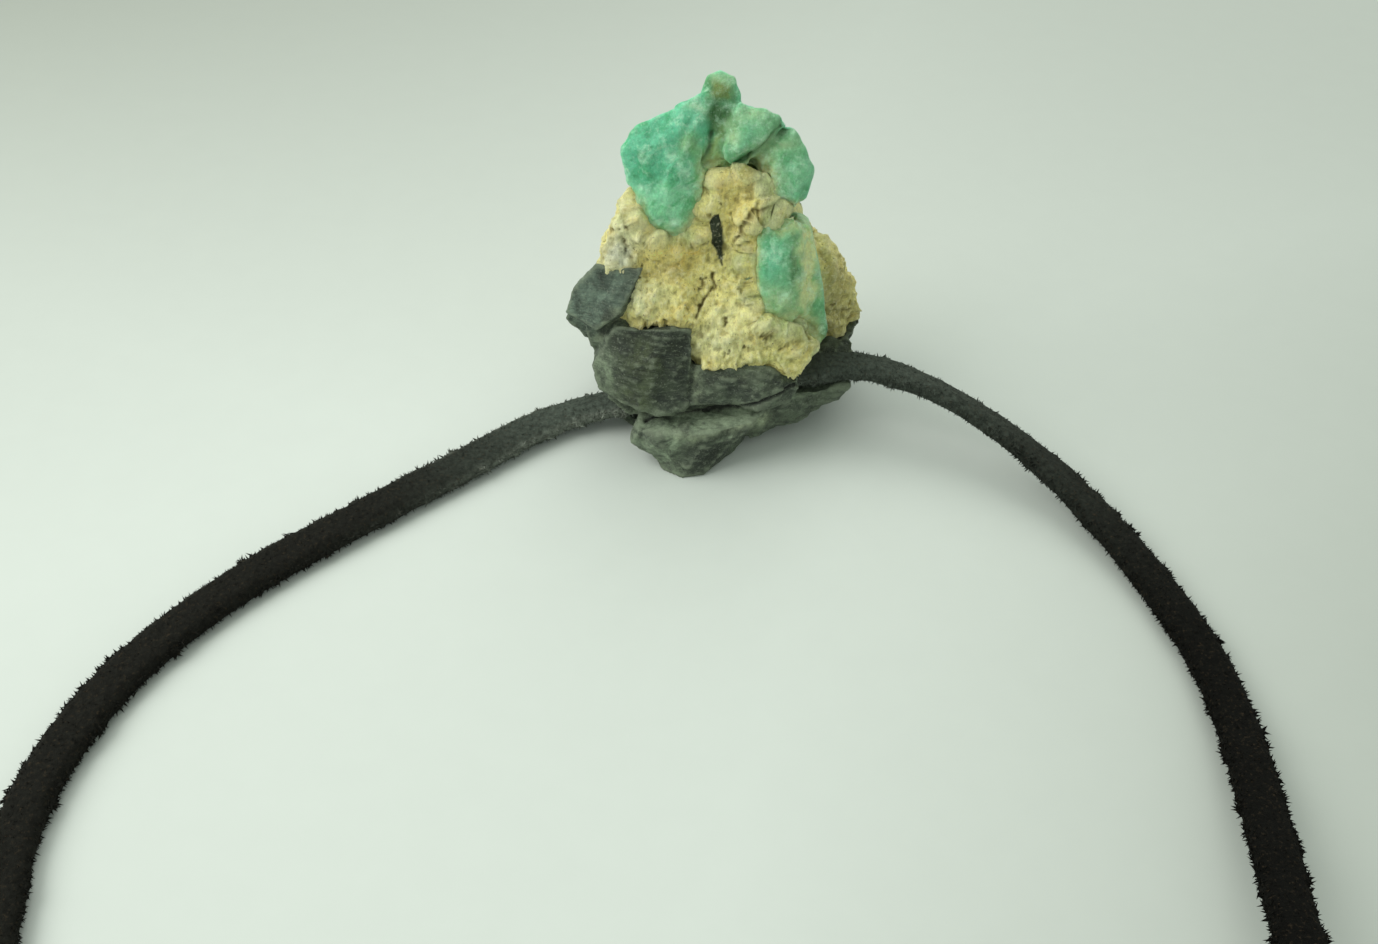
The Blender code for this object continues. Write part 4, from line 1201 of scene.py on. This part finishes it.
# Broken faces: their size in mm, their share of the height, and their seed. The fine ones keep straight edges
CRYSTAL_FACETS = [(2.3, 1.0, 101), (1.0, 0.6, 111)]
CRYSTAL_FINE_FACETS = [(0.45, 0.3, 121)]
# How much smoother the faces are at the tip, how far the rim sinks into the crust, and how rough it is, in mm
TIP_SMOOTHING = 0.7
RIM_DEPTH = 0.4
RIM_ROUGHNESS = 0.25
# Each solid of the emerald: its piece, the step of its skin in mm, how softened it is, how broken its faces
# are, its main colour and zones, where it swells, its blocks and its grooves
CRYSTALS = [
    (
        "emerald_cluster", "crystal_cluster", 0.115, 0.08, 1.0, TURQUOISE, CLUSTER_ZONES,
        [], [LEANING_CRYSTAL, LEFT_CRYSTAL, RIGHT_CRYSTAL], GROOVES,
    ),
    (
        "emerald_prism", "crystal_prism", 0.10, 0.3, 0.6, PRISM_GREEN, PRISM_ZONES,
        PRISM_FILLS, [LOWER_PRISM, PRISM_FLANK], [],
    ),
]


class EMERALD_OT_crystals(bpy.types.Operator):
    """Makes the emerald crystals: the cluster at the top and the prism below it"""

    bl_idname = "emerald.crystals"
    bl_label = "Emerald crystals"

    def execute(self, context):
        looks = context.scene.emerald_stone
        material = emerald_material(looks)
        height = looks.emerald_facet / MM
        for node, name, voxel, softness, broken, base, zones, fills, blocks, grooves in CRYSTALS:
            item = even_skin(node, name, voxel, blocks)
            edges = read_edges(item.data)
            points = evened(read_points(item.data), edges, round(softness / voxel ** 2))
            shown = facing(surface_of(item.data, points, edges))
            points = pushed(points, fills, shown)
            normals = surface_of(item.data, points, edges)
            to_rock = np.linalg.norm(near_solid(points, ["feldspar_matrix"], 3.2), axis=1)
            rim = 1 - blend_in(to_rock + 0.5 * rough_noise(points, 1.0, 151), 0.9, 1.9)
            border_places = spread_places(points, (1.0, 0.5, 153), (0.4, 0.25, 155))
            rim = np.maximum(rim, seams(border_places, CRYSTAL_BORDERS, 1.1) * shown)
            warped = points + wandering(points, 1.6, 0.3, 161)
            shape = broken_faces(warped, height, CRYSTAL_FACETS)
            shape += broken_faces(points, height, CRYSTAL_FINE_FACETS) + 0.05 * rough_noise(points, 0.4, 131)
            shape *= broken * (1 - TIP_SMOOTHING * ball(on_face(points), *TIP_PLACE))
            hollow = np.zeros(len(points))
            for (start, end), reach, depth in grooves:
                groove = depth * seam(spread_places(points, (0.9, 0.15, 147)), start, end, reach) * shown
                shape -= groove
                hollow = np.maximum(hollow, GROOVE_SHADE * groove)
            shape += RIM_ROUGHNESS * rim * rough_noise(points, 0.6, 157, 4) - RIM_DEPTH * rim
            moved = evened(points + normals * shape[:, None], edges, 1)
            ridges, dips = ridges_and_dips(moved, normals, edges, 8, (0.02, 0.09), (0.03, 0.12))
            store(item.data, "edge", ridges)
            # Painted shade in the grooves and in the dips between the broken faces
            store(item.data, "hollow", np.clip(hollow + 0.5 * dips, 0, 0.95))
            tint = zoned(spread_places(points, (1.1, 0.4, 141), (0.45, 0.2, 145)), base, zones, shown)
            dress(name, node, moved, painted(tint, rim, EMERALD_CREAM, 0.8), material)
        return {"FINISHED"}


TAN = colour_of(242, 233, 150)
STRAW = colour_of(254, 234, 142)
CREAM = colour_of(244, 246, 190)
WHITE = colour_of(212, 216, 186)
CRUST_GREEN = colour_of(180, 196, 126)
OLIVE = colour_of(188, 180, 114)
BROWN = colour_of(166, 150, 88)
SLIVER_DARK = colour_of(58, 68, 50)
FELDSPAR_ZONES = [
    ((-7.0, 19.2), (2.0, 1.4), CREAM, 0.9), ((-7.8, 17.0), (1.5, 1.4), WHITE, 1.1),
    ((-6.0, 19.4), (0.8, 0.7), STRAW, 0.9), ((-4.4, 17.0), (1.8, 1.1), STRAW, 0.9),
    ((-3.8, 15.7), (1.0, 0.6), BROWN, 0.6), ((-6.0, 13.8), (1.8, 1.2), CREAM, 1.1),
    ((-4.2, 12.0), (2.4, 0.5), STRAW, 1.0), ((2.0, 21.6), (1.2, 1.0), BROWN, 0.25),
    ((0.3, 22.2), (0.9, 0.8), STRAW, 0.8), ((-1.8, 17.0), (1.0, 1.2), STRAW, 0.5),
    ((1.4, 16.0), (0.9, 1.6), CRUST_GREEN, 0.5), ((0.6, 12.4), (1.8, 1.0), CREAM, 0.5),
    ((0.3, 10.4), (2.4, 1.2), CREAM, 0.8), ((6.4, 11.3), (1.4, 0.9), CRUST_GREEN, 0.8),
    ((1.6, 20.0), (1.2, 1.6), STRAW, 0.6), ((4.2, 9.2), (2.2, 0.5), CRUST_GREEN, 0.4),
    # The olive over the right lump behind the prism is partly the crust's own tone and partly painted shade
    ((10.2, 14.0), (2.0, 4.0), OLIVE, 0.9),
]
# The dark sliver of another mineral in the crust: its ends and half its width
SLIVER = ((-0.3, 19.9), (0.45, 16.2), 0.48)
# Where the crust swells below the dark groove of the upper crystals
FELDSPAR_FILLS = [
    ((0.5, 22.2), (0.6, 0.8), (0.0, -0.3, 0.1)), ((1.7, 22.5), (0.6, 0.7), (0.0, -0.5, 0.6)),
    ((2.9, 22.6), (0.5, 0.6), (0.0, -0.4, 0.3)),
]
# The way in mm by which the crust swells along the crystals' borders
BORDER_WAY = (0.0, -0.7, 0.4)
# Where the crust bulges to the left over the left block: the middle and reach, and how far
BULGE = ((-8.0, -1.2, 16.5), (1.6, 4.0, 1.3))
BULGE_HEIGHT = 1.0
# Where the crust runs out over the schist in tufts, and their way in mm
FRINGE = [
    ((-8.2, 11.9), (-2.0, 11.8)), ((-2.0, 11.8), (-1.6, 9.2)), ((-1.6, 9.2), (5.6, 8.0)),
    ((-5.8, 16.0), (-7.7, 12.6)),
]
FRINGE_WAY = (0.0, -0.45, -0.55)
# Cracks in the feldspar, darkened partly by brown stain and partly by painted shade
FELDSPAR_CRACKS = [
    ((-0.3, 15.5), (-0.2, 14.5)), ((-0.4, 14.6), (-1.7, 12.2)), ((2.6, 20.1), (4.4, 20.4)),
    ((2.6, 20.1), (1.5, 18.2)),
]
# Heights in mm of the grains, the fibres and the crust at the crystals, and depths of pits, cracks and sliver
GRAIN_HEIGHT = 0.34
FIBROUS_HEIGHT = 0.22
CRUST_HEIGHT = 0.75
PIT_DEPTH = 0.25
CRACK_DEPTH = 0.3
SLIVER_DEPTH = 0.15


class EMERALD_OT_feldspar(bpy.types.Operator):
    """Makes the granular feldspar round the crystals"""

    bl_idname = "emerald.feldspar"
    bl_label = "Feldspar"

    def execute(self, context):
        looks = context.scene.emerald_stone
        item = even_skin("feldspar_matrix", "feldspar", 0.15)
        edges = read_edges(item.data)
        points = evened(read_points(item.data), edges, 10)
        normals = surface_of(item.data, points, edges)
        shown = facing(normals)
        to_crystal = np.linalg.norm(near_solid(points, CRYSTAL_NODES, 2.4), axis=1)
        crust = (1 - blend_in(to_crystal + 0.2 * rough_noise(points, 0.6, 271), 0.0, 2.6)) * shown
        greened = (1 - blend_in(to_crystal + 0.9 * rough_noise(points, 1.0, 275), 0.0, 1.3)) * shown
        points, near = move_to_neighbours(points, [*CRYSTAL_NODES, "schist_base"])
        points = pushed(points, FELDSPAR_FILLS, shown)
        border = seams(spread_places(points, (0.9, 0.5, 291)), CRYSTAL_BORDERS, 0.9) * shown
        points += (border * (0.9 + 0.5 * rough_noise(points, 0.8, 295)))[:, None] * np.array(BORDER_WAY)
        points[:, 0] -= BULGE_HEIGHT * ball(points, *BULGE) * blend_in(-normals[:, 0], 0.0, 0.5)
        fringe = seams(spread_places(points, (0.8, 0.3, 297)), FRINGE, 0.7) * shown
        tufts = blend_in(rough_noise(points * (1.0, 1.0, 0.4), 0.55, 299), 0.0, 0.7)
        points += (fringe * tufts)[:, None] * np.array(FRINGE_WAY)
        sliver = lens(spread_places(points, (0.7, 0.10, 281)), *SLIVER) * shown
        shape = looks.feldspar_lump / MM * rough_noise(points, 1.7, 201)
        shape += GRAIN_HEIGHT * rough_noise(points, 0.7, 211, 4)
        shape += FIBROUS_HEIGHT * rough_noise(points * (1.0, 1.0, 0.3), 0.32, 215)
        pits = blend_in(rough_noise(points + wandering(points, 0.5, 0.25, 221), 0.6, 223), 0.56, 0.7)
        cracks = seams(spread_places(points, (0.8, 0.2, 231)), FELDSPAR_CRACKS, 0.10) * shown
        shape = (shape - PIT_DEPTH * pits) * (1 - 0.4 * near)
        shape += CRUST_HEIGHT * crust - CRACK_DEPTH * cracks - SLIVER_DEPTH * sliver
        moved = points + normals * shape[:, None]
        ridges, dips = ridges_and_dips(moved, normals, edges, 6, (0.02, 0.12), (0.04, 0.16))
        store(item.data, "edge", ridges * (1 - sliver))
        # The hollows: brown stain in pits and cracks, with painted shade in them and in the dips
        hollow = np.clip(0.35 * pits + 0.75 * cracks + 0.45 * dips, 0, 0.9)
        store(item.data, "hollow", hollow * (1 - 0.6 * near) * (1 - sliver))
        tint = zoned(spread_places(points, (1.4, 0.5, 251), (0.5, 0.25, 255)), TAN, FELDSPAR_ZONES, shown)
        tint = painted(tint, greened, PALE_GREEN, 0.55)
        tint = painted(tint, sliver, SLIVER_DARK, 2.0)
        dress("feldspar", "feldspar_matrix", moved, tint, feldspar_material(looks))
        return {"FINISHED"}


SLATE = colour_of(82, 93, 75)
SLATE_BLUE = colour_of(98, 116, 101)
SLATE_LIGHT = colour_of(134, 150, 124)
SLATE_SHADE = colour_of(44, 53, 41)
DUSK = colour_of(60, 70, 49)
SLATE_OLIVE = colour_of(106, 118, 76)
STRIP = colour_of(148, 160, 130)
SCHIST_ZONES = [
    # The first zone, on the left block, is paler and bluish: partly its own tone and partly painted light
    ((-9.8, 13.9), (3.6, 2.9), SLATE_BLUE, 1.3), (((-7.9, 12.6), (-9.5, 10.7)), 0.35, STRIP, 0.8),
    ((-8.7, 8.6), (0.8, 1.6), SLATE_LIGHT, 1.0), ((-6.4, 6.4), (1.3, 1.1), SLATE_OLIVE, 0.8),
    ((-3.8, 9.2), (2.0, 2.6), SLATE_SHADE, 1.8), ((-5.4, 10.4), (3.0, 1.2), SLATE_SHADE, 1.8),
    (((-6.6, 7.6), (-4.6, 8.4)), 0.5, SLATE_OLIVE, 0.7), (((-1.7, 8.8), (-1.5, 5.6)), 0.28, STRIP, 0.7),
    ((-6.2, 8.6), (2.4, 2.6), DUSK, 1.3), ((-6.2, 9.0), (1.0, 1.2), SLATE_OLIVE, 0.4),
    ((0.8, 7.4), (1.7, 1.2), SLATE_SHADE, 0.8), ((6.6, 6.0), (3.0, 1.3), SLATE, 0.7),
    # Painted light: the pale strip on the wedge's top ledge, and the paler front-left face of the wedge
    (((-3.0, 3.7), (3.6, 4.3)), 0.7, STRIP, 2.0), ((-4.9, 1.5), (1.7, 1.7), SLATE_LIGHT, 1.3),
    # Painted shade: the first zone darkens the wedge's right face
    ((-0.2, 1.6), (1.7, 1.6), SLATE_SHADE, 1.1), (((-2.1, 2.6), (1.4, 3.8)), 0.2, STRIP, 0.6),
]
# The plain blocks of the schist, by their corners, given like those of the crystals
LEFT_BLOCK = [
    (-9.6, 16.2, 0.6), (-5.8, 16.0, 1.3), (-6.3, 15.0, 1.5), (-7.7, 12.6, 1.5), (-9.7, 11.2, 0.8),
    (-12.2, 12.6, 0.0), (-11.6, 14.4, 0.2), (-9.6, 16.2, -2.0), (-5.8, 16.0, -2.0), (-7.7, 12.6, -2.0),
    (-9.7, 11.2, -2.0), (-12.2, 12.6, -2.5),
]
FRONT_BLOCK = [
    (-8.0, 11.5, 1.0), (-3.9, 11.4, 1.7), (-2.0, 11.3, 1.2), (-1.8, 9.2, 1.4), (-2.4, 5.3, 1.5),
    (-4.9, 4.5, 1.9), (-7.5, 5.6, 1.3), (-9.5, 6.6, 0.4), (-10.0, 8.6, 0.2), (-7.2, 8.6, 1.9),
    (-5.2, 8.4, 2.6), (-8.0, 11.5, -2.0), (-2.0, 11.3, -2.0), (-2.4, 5.2, -2.0), (-7.5, 5.6, -2.0),
    (-10.0, 8.6, -2.0),
]
CENTRE_BLOCK = [
    (-2.0, 8.7, 1.0), (1.7, 9.2, 0.8), (5.4, 7.9, 0.8), (5.8, 6.2, 1.0), (3.2, 5.1, 1.3), (-2.2, 5.5, 1.2),
    (1.4, 7.3, 1.9), (-2.0, 8.7, -2.0), (5.4, 7.9, -2.0), (5.8, 6.2, -2.0), (3.2, 5.0, -2.0),
    (-2.2, 5.4, -2.0),
]
# This one fills the gap under the feldspar, behind the lace
REAR_BLOCK = [
    (4.5, 11.4, -6.0), (8.1, 11.2, -6.0), (4.5, 15.1, -12.1), (6.9, 15.1, -12.1), (8.2, 13.3, -9.6),
    (4.5, 8.4, -7.5), (8.5, 8.4, -7.5), (4.5, 11.2, -12.2), (8.3, 11.2, -12.0),
]
# The middle and reach of the smoother block on the left, and how much smoother it is
SMOOTH_BLOCK = ((-10.6, -4.0, 12.5), (3.2, 5.0, 4.0))
SMOOTH_SHARE = 0.65
# Cracks cut in and darkened with painted shade
SCHIST_CRACKS = [((-5.9, 4.1), (-3.6, 4.6)), ((-3.6, 4.6), (1.5, 5.1)), ((1.5, 5.1), (7.0, 6.9))]
# Broken faces: their size in mm, their share of the height, and their seed. The fine ones keep straight edges
SCHIST_FACETS = [(2.9, 1.0, 311), (1.5, 0.45, 321)]
SCHIST_FINE_FACETS = [(0.7, 0.16, 325)]
# How much the broken faces differ in tone at random, partly the rock's own tone and partly painted light and
# shade: the size and seed of the faces, and the share
FACE_TONES = [(2.9, 311, 0.30), (1.5, 321, 0.22)]
# The way across the schist's leaves, their thickness in mm, and how far their edges stand out
LEAF_WAY = np.array((0.22, 0.38, 0.90))
LEAF_THICKNESS = 0.7
LEAF_HEIGHT = 0.08


class EMERALD_OT_schist(bpy.types.Operator):
    """Makes the dark schist that the rest stands on"""

    bl_idname = "emerald.schist"
    bl_label = "Schist"

    def execute(self, context):
        looks = context.scene.emerald_stone
        item = even_skin("schist_base", "schist", 0.16, [LEFT_BLOCK, FRONT_BLOCK, CENTRE_BLOCK, REAR_BLOCK])
        edges = read_edges(item.data)
        points = read_points(item.data)
        normals = surface_of(item.data, points, edges)
        shown = facing(normals)
        points, near = move_to_neighbours(points, CRYSTAL_NODES)
        height = looks.schist_facet / MM
        warped = points + wandering(points, 2.4, 0.4, 301)
        shape = broken_faces(warped, height, SCHIST_FACETS)
        shape += broken_faces(points, height, SCHIST_FINE_FACETS)
        shape += LEAF_HEIGHT * (sawtooth(warped @ LEAF_WAY / LEAF_THICKNESS) - 0.5)
        shape += 0.04 * rough_noise(points, 0.4, 331)
        shape *= 1 - SMOOTH_SHARE * ball(points, *SMOOTH_BLOCK)
        crack = seams(spread_places(points, (1.0, 0.12, 335)), SCHIST_CRACKS, 0.11) * shown
        on_floor = blend_in(points[:, 2], 0.05, 0.7)
        shape = (shape - CRACK_DEPTH * crack) * on_floor * (1 - 0.8 * near)
        tint = zoned(spread_places(points, (1.5, 0.3, 361), (0.5, 0.15, 365)), SLATE, SCHIST_ZONES, shown)
        # Each broken face lighter or darker at random: partly its own tone, partly painted light and shade
        for size, seed, share in FACE_TONES:
            tint *= 1 + share * facet_tones(warped, size, seed)
        # Painted light: the faces that look up at the front, low down on the wedge's ledge, are made paler
        lit_tops = blend_in(normals[:, 2], 0.35, 0.8) * blend_in(-points[:, 1], 3.0, 5.0)
        lit_tops *= 1 - blend_in(points[:, 2], 4.6, 6.0)
        tint = painted(tint, lit_tops, SLATE_LIGHT, 0.9)
        moved = points + normals * shape[:, None]
        ridges, dips = ridges_and_dips(moved, normals, edges, 6, (0.015, 0.07), (0.05, 0.15))
        store(item.data, "edge", ridges)
        # Painted shade in the cracks and dips
        store(item.data, "hollow", np.clip(0.9 * crack + 0.6 * dips, 0, 0.9))
        dress("schist", "schist_base", moved, tint, schist_material(looks))
        return {"FINISHED"}


class EMERALD_PT_panel(bpy.types.Panel):
    """Lists the pieces and their settings"""

    bl_idname = "EMERALD_PT_panel"
    bl_label = "Raw emerald"
    bl_space_type = "VIEW_3D"
    bl_region_type = "UI"
    bl_category = "Emerald"

    def draw(self, context):
        column = self.layout.column()
        for operator in OPERATORS:
            column.operator(operator.bl_idname)
        scene = context.scene
        for settings in (scene.emerald_stone, scene.emerald_lace, scene.emerald_studio):
            for name in settings.__annotations__:
                column.prop(settings, name)


OPERATORS = (
    EMERALD_OT_studio, EMERALD_OT_lace, EMERALD_OT_ties, EMERALD_OT_fibres, EMERALD_OT_crystals,
    EMERALD_OT_feldspar, EMERALD_OT_schist,
)
CLASSES = (StoneLooks, LaceLooks, StudioLooks, *OPERATORS, EMERALD_PT_panel)


def register():
    for item in CLASSES:
        bpy.utils.register_class(item)
    bpy.types.Scene.emerald_stone = bpy.props.PointerProperty(type=StoneLooks)
    bpy.types.Scene.emerald_lace = bpy.props.PointerProperty(type=LaceLooks)
    bpy.types.Scene.emerald_studio = bpy.props.PointerProperty(type=StudioLooks)


def unregister():
    for name in ("emerald_stone", "emerald_lace", "emerald_studio"):
        delattr(bpy.types.Scene, name)
    for item in reversed(CLASSES):
        bpy.utils.unregister_class(item)


def main():
    register()
    bpy.ops.emerald.studio()
    bpy.ops.emerald.lace()
    bpy.ops.emerald.ties()
    bpy.ops.emerald.fibres()
    bpy.ops.emerald.crystals()
    bpy.ops.emerald.feldspar()
    bpy.ops.emerald.schist()


if __name__ == "__main__":
    main()
